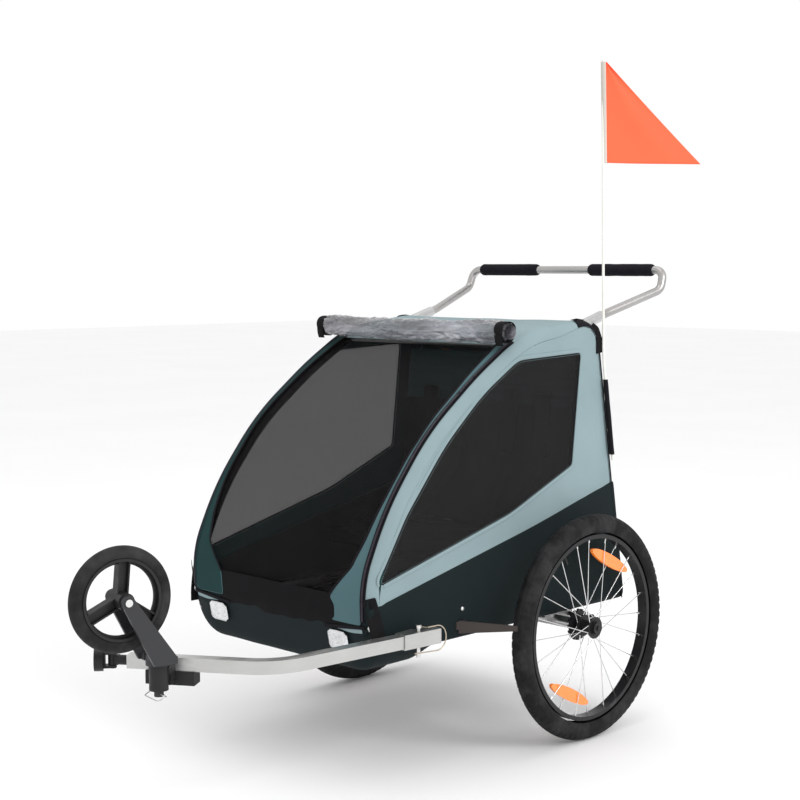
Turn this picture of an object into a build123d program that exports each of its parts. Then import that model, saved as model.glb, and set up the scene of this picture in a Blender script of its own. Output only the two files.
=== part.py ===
"""Child bicycle trailer: a folding two-wheel frame with a fabric cabin, hitch arm and stowed stroller wheel.

Frame of reference while modelling: X = 0 is the centre plane with +X the trailer's left, -Y is forward,
Y = 0 is the wheel axle, which stands AXLE_Z high. At the end everything moves along Y, so that the origin
is the middle of the whole trailer's footprint, and up or down, so that the tyres stand on Z = 0 whatever
their radius is. Lengths are in millimetres, angles in degrees.
"""

from build123d import *
from math import atan2, cos, degrees, hypot, pi, radians, sin
import os

# ---- overall sizes -------------------------------------------------------------------------------
WHEEL_R = 250.0            # 20 inch wheel over the tyre
BODY_HALF = 284.0          # inner face of the side fabric from the centre plane
WHEEL_X = BODY_HALF + 81.0  # wheel mid plane from the centre plane
FABRIC_T = 2.5             # cabin fabric
TUB_T = 2.0                # lower tub shell
GAP = 0.5                  # clearance round what passes through fabric

# Side outline of the cabin fabric, outer face, as (Y, Z) corners and the radius at each inner corner
FRONT_FOOT = (-598.0, 335.0)
ARCH = [FRONT_FOOT, (-602, 420), (-536, 560), (-420, 704), (-270, 815), (-120, 905), (124, 926)]
ARCH_RADII = [200, 600, 600, 900, 360]
REAR_TOP_R = 65.0
REAR_LEAN = 0.1646         # rear fabric moves back this much for each millimetre down
REAR_TOP = ARCH[-1]
FLOOR_Z = 266.0            # underside of the tub floor
TUB_LINE = (361.0, 0.22)   # height of the tub's upper edge at Y = -600, and its slope

# ---- base frame ----------------------------------------------------------------------------------
RAIL_X, RAIL_Z, RAIL_R, RAIL_WALL = BODY_HALF - 18.0, 297.0, 12.5, 2.0
RAIL_FRONT, RAIL_REAR = -582.0, 214.0
FRONT_BAR_Y, REAR_BAR_Y, BASE_BAR_R = -567.0, 203.0, 11.0
AXLE_Z = 250.0
AXLE_TUBE_R, AXLE_TUBE_HALF = 12.5, WHEEL_X - 47.0
AXLE_R, BORE_CLEAR = 6.2, 0.05
AXLE_PLATE_T, AXLE_PLATE_W = 6.0, 60.0

# ---- folding frame -------------------------------------------------------------------------------
HOOP_X, HOOP_R, HOOP_WALL = BODY_HALF - 16.0, 12.0, 2.2
HOOP_INSET = 17.0          # hoop centre line below the fabric's outer face
HOOP_PIVOT = (-581.0, 331.0)
SOCKET_RISE = 16.0         # the hoop's open rear end points up by this angle
SOCKET_START = (70.0, 905.0)
SOCKET_LENGTH = 90.0
PIVOT_PLATE_T, PIVOT_PLATE_GAP = 4.0, 0.4
PIVOT_PLATE_OUT = HOOP_X - HOOP_R - PIVOT_PLATE_GAP
PIVOT_PLATE = (PIVOT_PLATE_OUT - PIVOT_PLATE_T, PIVOT_PLATE_OUT)  # its faces from the centre plane
UPRIGHT_R, UPRIGHT_WALL, UPRIGHT_GAP = 9.5, 1.6, 1.1
UPRIGHT_X = PIVOT_PLATE[0] - UPRIGHT_GAP - UPRIGHT_R
UPRIGHT_PIVOT = (203.0, 331.0)
UPRIGHT_LENGTH = 488.0
CROSSBAR_R, UPRIGHT_BAR_R = 9.5, 8.0
FRONT_TOP_BAR_Y = -128.0
PIVOT_BOLT_R = 4.0
PIVOT_CLEAR = 0.1

# ---- handlebar -----------------------------------------------------------------------------------
BAR_CLEAR, BAR_WALL = 0.3, 1.5
BAR_R = HOOP_R - HOOP_WALL - BAR_CLEAR
BAR_Y, BAR_Z, BAR_HALF = 354.0, 1034.0, BODY_HALF + 16.0
BAR_INSERT = 68.0
GRIP_R, GRIP_IN, GRIP_OUT = 15.0, 82.0, BAR_HALF - 29.0

# ---- hitch ---------------------------------------------------------------------------------------
HITCH_Z = 303.0
RECEIVER_AT = (BODY_HALF + 41.0, -500.5)
LUG_HALF, LUG_BELOW, LUG_ABOVE = 20.0, 9.0, 15.0  # the receiver's lug about its middle and the rail's
RECEIVER_TOE = 4.07        # the receiver and arm point inward by this angle
RECEIVER_LENGTH, RECEIVER_WALL = 97.0, 2.0
ARM_W, ARM_WALL, ARM_CLEAR = 25.4, 2.0, 0.4
ARM_CORNER, ARM_END, ARM_BEND = (BODY_HALF + 16.0, -851.6), (59.0, -1010.0), 115.0
ARM_TAIL = 40.0            # length of arm inside the receiver behind its middle
PIN_R, PIN_CLEAR = 4.0, 0.3
COUPLER_R, COUPLER_T, COUPLER_BORE = 22.0, 17.0, 14.0
COUPLER_PIN_R, COUPLER_REACH = 3.1, 34.0  # the hinge pin, and how far it stands off the arm's end
COUPLER_TURN = 18.0        # the head rests turned this much from the arm's line

# ---- stowed stroller wheel -----------------------------------------------------------------------
CASTER_R, CASTER_TYRE_R = 99.0, 14.0
CASTER_OFFSET = 35.0       # stem axis from the arm's near face
CASTER_FROM_END = 76.5     # stem axis back from the arm's end
CASTER_TURN = 11.7         # rest turn of the fork about its stem
CASTER_TRAIL, CASTER_RISE = 74.0, 130.0
CROWN_Z, CROWN_R, CROWN_H = 311.0, 24.0, 20.0
STEM_R, HOUSING_R, HOUSING_H = 9.0, 18.0, 46.0
LEG_IN, LEG_T, LEG_CLEAR = 31.0, 7.5, 1.8

# ---- road wheels ---------------------------------------------------------------------------------
TYRE_SECTION_R, TYRE_WALL = 23.5, 3.5
RIM_SEAT_R, RIM_T, RIM_HALF = WHEEL_R - 44.0, 9.0, 12.5
RIM_IN_R = RIM_SEAT_R - RIM_T
HUB_R, FLANGE_R, FLANGE_T, FLANGE_HALF = 13.0, 24.0, 3.0, 15.5
SPOKES_PER_SIDE, SPOKE_R = 12, 1.0
BRAKE_DISC_X, BRAKE_DISC_T, BRAKE_DISC_R, TEETH, TOOTH_DEPTH = WHEEL_X - 34.0, 5.0, 35.0, 16, 4.5
HUB_OUT_X = WHEEL_X + 19.0
BUTTON_R, BUTTON_TRAVEL = 5.0, 3.0
REFLECTOR_DROP, REFLECTOR_HALF, REFLECTOR_T = 42.0, (13.5, 71.0), 7.0
REFLECTOR_TURNS = (116.5, 296.5)
GUARD_TIP = (WHEEL_X + 21.0, -WHEEL_R - 18.0)  # each wheel guard ends just ahead of the tyre
GUARD_ROOT = (BODY_HALF + 5.5, GUARD_TIP[1] - 75.0)
GUARD_FLANGE = (GUARD_ROOT[1] - 9.0, GUARD_ROOT[1] + 18.0)
GUARD_FLANGE_HALF = 8.0

# ---- parking brake -------------------------------------------------------------------------------
BRAKE_AT, BRAKE_SHAFT_R = (49.0, 257.0), 4.5
BRAKE_TRAVEL = 12.0        # the shaft turns this far from released to locked
PAWL_AT = -35.0            # direction of the locked tooth gap from the wheel's centre
PAWL_T, PAWL_W, PAWL_GAP = 5.0, 5.5, 7.0
PEDAL_Y, PEDAL_R, PEDAL_HALF = 255.0, 8.0, 70.0

# ---- soft goods ----------------------------------------------------------------------------------
SEAT_TOP, SEAT_T, SEAT_FRONT, SEAT_REAR = 430.0, 32.0, -235.0, 38.0
BACK_T, BACK_TOP = 20.0, 842.0
ROLL_AT, ROLL_R, ROLL_HALF = (-190.0, 905.0), 26.0, BODY_HALF + 7.0
ROLL_STRAP_W = 24.0
FLAG_TOP, FLAG_BOTTOM, FLAG_LENGTH, FLAG_TURN = 1500.0, 1272.0, 263.0, 69.0
POLE_X, POLE_R = ROLL_HALF + 5.0, 3.0  # clears the roll's ends when the cabin folds
FOOT_BOTTOM, FOOT_CORNER_R, FOOT_REAR = 229.0, 75.0, -380.0


def mirror_x(shape):
    return mirror(shape, about=Plane.YZ)


def both(shape):
    """The left piece with its mirror image, as a node of two separate solids."""
    return Compound(children=[*shape.solids(), *mirror_x(shape).solids()])


def group(*shapes):
    return Compound(children=[solid for shape in shapes for solid in shape.solids()])


def bar_x(x0, x1, y, z, r):
    """A round bar along X."""
    return Pos((x0 + x1) / 2, y, z) * Rot(0, 90, 0) * Cylinder(r, abs(x1 - x0))


def along_y(shape):
    """Turn a shape made along Z to lie along Y."""
    return Rot(-90, 0, 0) * shape


def block(x0, x1, y0, y1, z0, z1):
    return Pos((x0 + x1) / 2, (y0 + y1) / 2, (z0 + z1) / 2) * Box(abs(x1 - x0), abs(y1 - y0), abs(z1 - z0))


def inset(points, distance):
    """A polyline moved to its right-hand side by a distance, its corners kept in parallel."""
    moved = []
    for i, (y, z) in enumerate(points):
        before, after = points[max(i - 1, 0)], points[min(i + 1, len(points) - 1)]
        if i == 0:
            before = (2 * y - after[0], 2 * z - after[1])
        if i == len(points) - 1:
            after = (2 * y - before[0], 2 * z - before[1])
        a0 = atan2(z - before[1], y - before[0])
        a1 = atan2(after[1] - z, after[0] - y)
        middle, half = (a0 + a1) / 2, (a1 - a0) / 2
        reach = distance / cos(half)
        moved.append((y + reach * sin(middle), z - reach * cos(middle)))
    return moved


def arch_line(distance):
    """The cabin's front and roof outline, moved inward by a distance, as points and radii."""
    return inset(ARCH, distance), [r - distance for r in ARCH_RADII]


def rear_y(z, distance=0.0):
    """Y of the rear fabric's outer face at a height, moved inward by a distance."""
    return REAR_TOP[0] + (REAR_TOP[1] - z) * REAR_LEAN - distance * hypot(1, REAR_LEAN)


def tub_line_z(y):
    return TUB_LINE[0] + TUB_LINE[1] * (y + 600.0)


def profile(points, x0, x1):
    """A closed outline of (Y, Z) points or edges, extruded along X."""
    face = make_face(Plane.YZ * Polyline(*points, close=True))
    return Pos(x0, 0, 0) * extrude(face, amount=x1 - x0, dir=(1, 0, 0))


def solid_of(edges, x0, x1):
    face = Plane.YZ * make_face(edges)
    return Pos(x0, 0, 0) * extrude(face, amount=x1 - x0, dir=(1, 0, 0))


def tube(points, radii, outer, inner):
    """A round tube along straight runs joined by tangent arcs."""
    path = FilletPolyline(*points, radius=radii) if radii else Polyline(*points)
    start = Plane(origin=path @ 0, z_dir=path % 0)
    solid = sweep(start * Circle(outer), path=path)
    return solid - sweep(start * Circle(inner), path=path) if inner else solid


# ---- base frame ----------------------------------------------------------------------------------
def base_frame():
    length = RAIL_REAR - RAIL_FRONT
    middle = (RAIL_REAR + RAIL_FRONT) / 2
    rail_full = Pos(RAIL_X, middle, RAIL_Z) * along_y(Cylinder(RAIL_R, length))
    rail = rail_full - Pos(RAIL_X, middle, RAIL_Z) * along_y(Cylinder(RAIL_R - RAIL_WALL, length))
    crossbars = []
    for y in (FRONT_BAR_Y, REAR_BAR_Y):
        bar = bar_x(-RAIL_X, RAIL_X, y, RAIL_Z, BASE_BAR_R)
        bar -= bar_x(-RAIL_X, RAIL_X, y, RAIL_Z, BASE_BAR_R - RAIL_WALL)
        crossbars.append(bar - rail_full - mirror_x(rail_full))
    axle_tube = bar_x(-AXLE_TUBE_HALF, AXLE_TUBE_HALF, 0, AXLE_Z, AXLE_TUBE_R)
    axle_tube -= bar_x(-AXLE_TUBE_HALF, AXLE_TUBE_HALF, 0, AXLE_Z, AXLE_R + BORE_CLEAR)
    plate_in, plate_out = RAIL_X - AXLE_PLATE_T / 2, RAIL_X + AXLE_PLATE_T / 2
    plate = block(plate_in, plate_out, -AXLE_PLATE_W / 2, AXLE_PLATE_W / 2, AXLE_Z - 4, RAIL_Z)
    plate += block(plate_in, plate_out, 0, BRAKE_AT[0] + 12, AXLE_Z - 4, FLOOR_Z - GAP)
    plate -= rail_full + bar_x(200, AXLE_TUBE_HALF, 0, AXLE_Z, AXLE_TUBE_R)
    plate -= bar_x(200, AXLE_TUBE_HALF, *BRAKE_AT, BRAKE_SHAFT_R + BORE_CLEAR)
    return {
        "side_rails": both(rail),
        "base_crossbars": group(*crossbars),
        "axle_tube": axle_tube,
        "axle_plates": both(plate),
        "pivot_plates": both(pivot_plate(HOOP_PIVOT, rail_full, FRONT_BAR_Y)
                             + pivot_plate(UPRIGHT_PIVOT, rail_full, REAR_BAR_Y)),
    }


def pivot_plate(pivot, rail, bar_y):
    """A plate beside a rail that carries one end of a folding tube on a bolt."""
    y, z = pivot
    inner, outer = PIVOT_PLATE
    side = block(inner, outer, y - 5, y + 11, RAIL_Z, z) + bar_x(inner, outer, y, z, 11.0)
    return side - rail - bar_x(200, outer + 1, bar_y, RAIL_Z, BASE_BAR_R) - bar_x(inner, outer, y, z, PIVOT_BOLT_R)


def pivot_bolts():
    """Bolts fixed in the pivot plates: the hoops turn outside them and the uprights inside."""
    inner, outer = PIVOT_PLATE
    front = bar_x(inner - 3, HOOP_X + HOOP_R + 1.0, *HOOP_PIVOT, PIVOT_BOLT_R)
    front += bar_x(inner - 3, inner, *HOOP_PIVOT, 7.0)
    rear = bar_x(UPRIGHT_X - UPRIGHT_R - 3.5, outer, *UPRIGHT_PIVOT, PIVOT_BOLT_R)
    rear += bar_x(UPRIGHT_X - UPRIGHT_R - 3.5, UPRIGHT_X - UPRIGHT_R - 1, *UPRIGHT_PIVOT, 7.0)
    return {"pivot_bolts": both(front + rear)}


# ---- folding frame -------------------------------------------------------------------------------
def socket_point(along):
    """A point on the hoop's rear end line, measured from where that line starts."""
    rise = radians(SOCKET_RISE)
    return SOCKET_START[0] + along * cos(rise), SOCKET_START[1] + along * sin(rise)


def hoops():
    line, radii = arch_line(HOOP_INSET)
    inner_line = line[1:-1]
    points = [(HOOP_X, *HOOP_PIVOT), *[(HOOP_X, *p) for p in inner_line],
              (HOOP_X, *SOCKET_START), (HOOP_X, *socket_point(SOCKET_LENGTH))]
    hoop = tube(points, [*radii, 120.0], HOOP_R, HOOP_R - HOOP_WALL)
    hoop += bar_x(HOOP_X - HOOP_R, HOOP_X + HOOP_R, *HOOP_PIVOT, HOOP_R)
    hoop -= bar_x(HOOP_X - 2 * HOOP_R, HOOP_X + 2 * HOOP_R, *HOOP_PIVOT, PIVOT_BOLT_R + PIVOT_CLEAR)
    hoop_space = tube(points, [*radii, 120.0], HOOP_R, 0)
    path = FilletPolyline(*points, radius=[*radii, 120.0])
    front = min((path @ (i / 500) for i in range(501)), key=lambda p: abs(p.Y - FRONT_TOP_BAR_Y))
    bars = []
    for y, z in ((front.Y, front.Z), SOCKET_START):
        bar = bar_x(-HOOP_X, HOOP_X, y, z, CROSSBAR_R) - bar_x(-HOOP_X, HOOP_X, y, z, CROSSBAR_R - UPRIGHT_WALL)
        bars.append(bar - hoop_space - mirror_x(hoop_space))
    return {"front_hoops": both(hoop), "hoop_crossbars": group(*bars)}


def uprights():
    lean = atan2(REAR_LEAN, 1)
    foot = (UPRIGHT_X, *UPRIGHT_PIVOT)
    tip = (UPRIGHT_X, UPRIGHT_PIVOT[0] - UPRIGHT_LENGTH * sin(lean), UPRIGHT_PIVOT[1] + UPRIGHT_LENGTH * cos(lean))
    upright = tube([foot, tip], None, UPRIGHT_R, UPRIGHT_R - UPRIGHT_WALL)
    upright += bar_x(UPRIGHT_X - UPRIGHT_R, UPRIGHT_X + UPRIGHT_R, *UPRIGHT_PIVOT, UPRIGHT_R)
    upright -= bar_x(UPRIGHT_X - 15, UPRIGHT_X + 15, *UPRIGHT_PIVOT, PIVOT_BOLT_R + PIVOT_CLEAR)
    space = tube([foot, tip], None, UPRIGHT_R, 0)
    along = UPRIGHT_LENGTH - UPRIGHT_R
    y, z = UPRIGHT_PIVOT[0] - along * sin(lean), UPRIGHT_PIVOT[1] + along * cos(lean)
    bar = bar_x(-UPRIGHT_X, UPRIGHT_X, y, z, UPRIGHT_BAR_R)
    bar -= bar_x(-UPRIGHT_X, UPRIGHT_X, y, z, UPRIGHT_BAR_R - UPRIGHT_WALL)
    return {"rear_uprights": both(upright), "upright_crossbar": bar - space - mirror_x(space)}


def handlebar():
    start = (HOOP_X, *socket_point(SOCKET_LENGTH - BAR_INSERT))
    leave = (HOOP_X, *socket_point(SOCKET_LENGTH + 18))
    elbow = (BAR_HALF + 3, BAR_Y - 16, BAR_Z - 46)
    corner = (BAR_HALF, BAR_Y, BAR_Z)
    left = [start, leave, elbow, corner]
    right = [(-x, y, z) for x, y, z in reversed(left)]
    bar = tube([*left, *right], [90, 28, 24, 24, 28, 90], BAR_R, BAR_R - BAR_WALL)
    grip = bar_x(GRIP_IN, GRIP_OUT, BAR_Y, BAR_Z, GRIP_R) - bar_x(GRIP_IN, GRIP_OUT, BAR_Y, BAR_Z, BAR_R)
    return {"handlebar_tube": bar, "handle_grips": both(grip)}


# ---- hitch ---------------------------------------------------------------------------------------
def hitch_place():
    return Pos(RECEIVER_AT[0], RECEIVER_AT[1], HITCH_Z) * Rot(0, 0, -RECEIVER_TOE)


def square_bar(width, y0, y1):
    return block(-width / 2, width / 2, y0, y1, -width / 2, width / 2)


def arm_sweep(width, path):
    start = Plane(origin=path @ 0, x_dir=(0, 0, 1), z_dir=path % 0)
    return sweep(start * Rectangle(width, width), path=path)


def receiver_lug(x0, x1, clear=0.0):
    """The block that joins the receiver to the left rail, or with a clearance the space that it needs."""
    y = RECEIVER_AT[1]
    return block(x0, x1, y - LUG_HALF - clear, y + LUG_HALF + clear,
                 RAIL_Z - LUG_BELOW - clear, RAIL_Z + LUG_ABOVE + clear)


def hitch():
    inner = ARM_W + 2 * ARM_CLEAR
    outer = inner + 2 * RECEIVER_WALL
    half = RECEIVER_LENGTH / 2
    receiver = square_bar(outer, -half, half) - square_bar(inner, -half - 1, half + 1)
    receiver -= Cylinder(PIN_R + PIN_CLEAR, 2 * outer)
    receiver = hitch_place() * receiver
    lug = receiver_lug(RAIL_X, RECEIVER_AT[0])
    lug -= Pos(RAIL_X, RECEIVER_AT[1], RAIL_Z) * along_y(Cylinder(RAIL_R, 60))
    lug -= hitch_place() * block(-outer / 2, 200, -half - 5, half + 5, -60, 60)
    toe = radians(RECEIVER_TOE)
    tail = (RECEIVER_AT[0] + ARM_TAIL * sin(toe), RECEIVER_AT[1] + ARM_TAIL * cos(toe), HITCH_Z)
    path = FilletPolyline(tail, (*ARM_CORNER, HITCH_Z), (*ARM_END, HITCH_Z), radius=ARM_BEND)
    arm = arm_sweep(ARM_W, path) - arm_sweep(ARM_W - 2 * ARM_WALL, path)
    arm -= hitch_place() * Cylinder(PIN_R + PIN_CLEAR, 2 * outer)
    pin = Cylinder(PIN_R, outer + 30)
    pin = Pos(0, 0, -9) * pin + Pos(0, 0, outer / 2 + 9) * Cylinder(PIN_R + 2.5, 6)
    bail_x = PIN_R + 3.5
    top, low = outer / 2 + 9, -outer / 2 - 13
    bail = tube([(0, bail_x, top), (0, 55, top), (0, 60, low), (0, -26, low + 4)], [24, 24], 1.3, 0)
    bail = Pos(outer / 2 + 4, 0, 0) * bail
    hook = tube([(0, 0, top), (outer / 2 + 4, bail_x - 2, top)], None, 1.2, 0)
    return {
        "hitch_receiver": receiver + lug,
        "hitch_arm": arm,
        "hitch_pin": hitch_place() * pin,
        "hitch_pin_bail": hitch_place() * (bail + hook - Pos(0, 0, top) * Cylinder(PIN_R + 2.5, 6)),
    }


def arm_direction():
    dx, dy = ARM_END[0] - ARM_CORNER[0], ARM_END[1] - ARM_CORNER[1]
    size = hypot(dx, dy)
    return dx / size, dy / size


def coupler():
    """The neck in the arm's end and the cup-shaped head that turns on it."""
    angle = degrees(atan2(*reversed(arm_direction())))
    place = Pos(*ARM_END, HITCH_Z) * Rot(0, 0, angle)
    plug = ARM_W - 2 * ARM_WALL - 0.2
    neck = block(-45, 0, -plug / 2, plug / 2, -plug / 2, plug / 2) + Pos(12, 0, 0) * Rot(0, 90, 0) * Cylinder(9.5, 24)
    hinge = Pos(COUPLER_REACH, 0, 0)
    tongue = block(20, COUPLER_REACH, -5, 5, -9.5, 9.5) + hinge * Cylinder(7.5, 19)
    tongue -= hinge * Cylinder(COUPLER_PIN_R + BORE_CLEAR, 30)
    fork = Rot(0, 0, COUPLER_TURN) * coupler_head()
    pin = Cylinder(COUPLER_PIN_R, 36) + Pos(0, 0, 17) * Cylinder(5.5, 3)
    return {
        "coupler_neck": place * (neck + tongue),
        "coupler_head": place * hinge * fork,
        "coupler_pin": place * hinge * pin,
    }


def coupler_head():
    cheek = block(-8, 16, -9, 9, 10.5, 15.5) + Pos(0, 0, 13) * Cylinder(9, 5)
    cheeks = cheek + mirror(cheek, about=Plane.XY)
    cheeks += block(12, 17, -9, 9, -15.5, 15.5)
    cup = Pos(16 + COUPLER_T / 2, 0, 0) * Rot(0, 90, 0) * Cylinder(COUPLER_R, COUPLER_T)
    cup -= Pos(16 + 5 + COUPLER_T / 2, 0, 0) * Rot(0, 90, 0) * Cylinder(COUPLER_BORE, COUPLER_T)
    return cheeks + cup - Cylinder(COUPLER_PIN_R + 3 * BORE_CLEAR, 60)


# ---- stowed stroller wheel -----------------------------------------------------------------------
def stem_at():
    """Centre of the caster's stem, beside the arm's front end."""
    ax, ay = arm_direction()
    off = ARM_W / 2 + CASTER_OFFSET
    return (ARM_END[0] - ax * CASTER_FROM_END - ay * off, ARM_END[1] - ay * CASTER_FROM_END + ax * off)


def caster_place():
    """Local X points from the stem to the wheel's axle, and local Z is up from the crown's underside."""
    return Pos(*stem_at(), CROWN_Z) * Rot(0, 0, -90 - CASTER_TURN)


def caster():
    clear = BORE_CLEAR
    angle = degrees(atan2(*reversed(arm_direction())))
    bracket_place = Pos(*stem_at(), CROWN_Z) * Rot(0, 0, angle)
    housing = Pos(0, 0, -2 - HOUSING_H / 2) * Cylinder(HOUSING_R, HOUSING_H)
    arm_top, arm_low = HITCH_Z - CROWN_Z + ARM_W / 2, HITCH_Z - CROWN_Z - ARM_W / 2
    near, far = CASTER_OFFSET, CASTER_OFFSET + ARM_W
    web = block(-20, 20, -near + 0.2, 0, arm_low + 2, arm_top - 8)
    saddle = block(-58, 38, -far - 4, -near + 4, arm_low - 26, arm_low - 0.2)
    saddle += block(-20, 20, -near + 0.2, -STEM_R, arm_low - 20, arm_low + 3)
    saddle -= block(-54, 60, -far, -near, arm_low - 22, arm_low - 5)
    bracket = housing + web + saddle - Pos(0, 0, -40) * Cylinder(STEM_R + clear, 120)
    crown = Pos(0, 0, CROWN_H / 2) * Cylinder(CROWN_R, CROWN_H)
    stem_drop = HOUSING_H + 14
    stem = Pos(0, 0, -stem_drop / 2) * Cylinder(STEM_R, stem_drop) + Pos(0, 0, -1) * Cylinder(STEM_R + 5, 2)
    axle = Vector(CASTER_TRAIL, 0, CASTER_RISE)
    fork = crown + stem
    for side in (-1, 1):
        y0 = side * (LEG_IN + LEG_T / 2)
        low = Plane(origin=(0, y0, 8), x_dir=(1, 0, 0), z_dir=(0, 1, 0))
        run = hypot(axle.X, axle.Z - 8)
        tilt = degrees(atan2(axle.Z - 8, axle.X))
        blade = make_face(Polyline((0, -23), (run, -12.5), (run, 12.5), (0, 23), close=True))
        leg = extrude(blade, amount=LEG_T / 2, both=True)
        leg = Pos(0, y0, 8) * Rot(90, 0, 0) * Rot(0, 0, tilt) * leg
        leg += Pos(axle.X, y0, axle.Z) * along_y(Cylinder(13.0, LEG_T))
        leg += block(-CROWN_R + 3, CROWN_R - 3, side * 16, side * (LEG_IN + LEG_T), 0, CROWN_H)
        leg -= block(-200, 200, -100, 100, -40, arm_top + LEG_CLEAR)
        fork += leg
    fork -= Pos(axle.X, 0, axle.Z) * along_y(Cylinder(4.0, 200))
    fork -= Pos(axle.X, 0, axle.Z) * along_y(Cylinder(CASTER_R + 3.5, 2 * LEG_IN))
    clip_z = -HOUSING_H - 8
    fork -= Pos(0, 0, clip_z) * along_y(Cylinder(2.0, 60))
    bolt = along_y(Cylinder(4.0, 2 * (LEG_IN + LEG_T) + 2))
    bolt += Pos(0, -LEG_IN - LEG_T - 1.5, 0) * along_y(Cylinder(7.0, 3.0))
    bolt += Pos(0, LEG_IN + LEG_T + 1.5, 0) * along_y(Cylinder(7.0, 3.0))
    clip = Pos(0, 0, clip_z) * along_y(Cylinder(2.0, 52))
    clip += tube([(0, 26, clip_z), (0, 34, clip_z), (18, 34, clip_z - 6), (20, -20, clip_z - 6), (4, -25, clip_z)],
                 [5, 8, 4], 1.2, 0)
    tyre = caster_tyre()
    rim = caster_rim()
    at_axle = Pos(axle.X, 0, axle.Z)
    return {
        "caster_bracket": bracket_place * bracket,
        "caster_fork": caster_place() * fork,
        "caster_bolt": caster_place() * at_axle * bolt,
        "caster_clip": caster_place() * clip,
        "caster_tyre": caster_place() * at_axle * tyre,
        "caster_rim": caster_place() * at_axle * rim,
    }


def ring(section):
    """A section drawn with X as the radius and Y as the width, turned round the Y axis."""
    return revolve(Plane.XY * section, axis=Axis.Y)


def caster_tyre():
    seat = CASTER_R - 2 * CASTER_TYRE_R + 5
    section = Pos(CASTER_R - CASTER_TYRE_R, 0) * Circle(CASTER_TYRE_R) - Pos(seat - 20, 0) * Rectangle(40, 60)
    return ring(section)


def caster_rim():
    seat = CASTER_R - 2 * CASTER_TYRE_R + 5
    section = Pos(seat - 2.5, 0) * Rectangle(5, 26) + Pos(seat - 6, 0) * Rectangle(8, 6)
    wheel = ring(section) + along_y(Cylinder(16, 58))
    for turn in (25, 145, 265):
        spoke = block(10, seat - 4, -3, 3, -11, 11) + block(10, seat - 4, -11, 11, -11, -8)
        spoke += block(10, seat - 4, -11, 11, 8, 11)
        wheel += Rot(0, turn, 0) * spoke
    return wheel - along_y(Cylinder(4.0 + BORE_CLEAR, 100))


# ---- road wheels ---------------------------------------------------------------------------------
def wheel_nodes(side):
    """One road wheel, made for the left and mirrored for the right."""
    name = "left" if side > 0 else "right"
    centre_r = WHEEL_R - TYRE_SECTION_R
    casing = Pos(centre_r, 0) * (Circle(TYRE_SECTION_R) - Circle(TYRE_SECTION_R - TYRE_WALL))
    tyre = ring(casing - Pos(RIM_SEAT_R - 20, 0) * Rectangle(40, 80) - Pos(RIM_SEAT_R, 0) * Rectangle(12, 22))
    well = Pos((RIM_SEAT_R + RIM_IN_R) / 2, 0) * Rectangle(RIM_SEAT_R - RIM_IN_R, 2 * RIM_HALF)
    rim = ring(well)
    hub_in, hub_out = BRAKE_DISC_X - WHEEL_X, HUB_OUT_X - WHEEL_X
    hub = along_y(Pos(0, 0, (hub_in + hub_out) / 2) * Cylinder(HUB_R, hub_out - hub_in))
    for y in (-FLANGE_HALF, FLANGE_HALF):
        hub += along_y(Pos(0, 0, y) * Cylinder(FLANGE_R, FLANGE_T))
    hub += along_y(Pos(0, 0, hub_out - 3) * Cylinder(17.0, 6.0))
    hub += along_y(Pos(0, 0, hub_in + BRAKE_DISC_T / 2) * brake_disc())
    hub -= along_y(Cylinder(AXLE_R + BORE_CLEAR, 200))
    spokes = []
    for i in range(2 * SPOKES_PER_SIDE):
        half = FLANGE_HALF if i % 2 else -FLANGE_HALF
        at = pi * i / SPOKES_PER_SIDE
        lead = radians(38 if (i // 2) % 2 else -38)
        foot = Vector((FLANGE_R - 2) * cos(at + lead), half, (FLANGE_R - 2) * sin(at + lead))
        head = Vector((RIM_IN_R + 3) * cos(at), half * 0.2, (RIM_IN_R + 3) * sin(at))
        spokes.append(tube([foot, head], None, SPOKE_R, 0))
    nipples = [Rot(0, -degrees(pi * i / SPOKES_PER_SIDE), 0) * Pos(RIM_IN_R - 5, (3 if i % 2 else -3), 0)
               * Rot(0, 90, 0) * Cylinder(2.0, 10) for i in range(2 * SPOKES_PER_SIDE)]
    spokes = [spoke + nipple for spoke, nipple in zip(spokes, nipples)]
    reflectors = [Rot(0, -turn, 0) * Pos(RIM_IN_R - REFLECTOR_DROP, 0, 0) * reflector() for turn in REFLECTOR_TURNS]
    shapes = {"tyre": tyre, "rim": rim, "hub": hub, "spokes": group(*spokes), "reflectors": group(*reflectors)}
    place = Pos(WHEEL_X, 0, AXLE_Z) * Rot(0, 0, -90)
    placed = {f"{key}_{name}": place * shape for key, shape in shapes.items()}
    return placed if side > 0 else {key: mirror_x(shape) for key, shape in placed.items()}


def reflector():
    """An oval spoke reflector, long across the radius."""
    outline = Ellipse(*REFLECTOR_HALF)
    return extrude(Plane.XZ * outline, amount=REFLECTOR_T / 2, both=True)


def brake_disc():
    """A toothed disc along Z with one tooth gap where the parking brake's pawl locks."""
    disc = Cylinder(BRAKE_DISC_R, BRAKE_DISC_T)
    for i in range(TEETH):
        gap = Pos(BRAKE_DISC_R, 0, 0) * Box(2 * TOOTH_DEPTH, PAWL_GAP, 2 * BRAKE_DISC_T)
        disc -= Rot(0, 0, 180 + PAWL_AT + 360 * i / TEETH) * gap
    return disc


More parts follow.
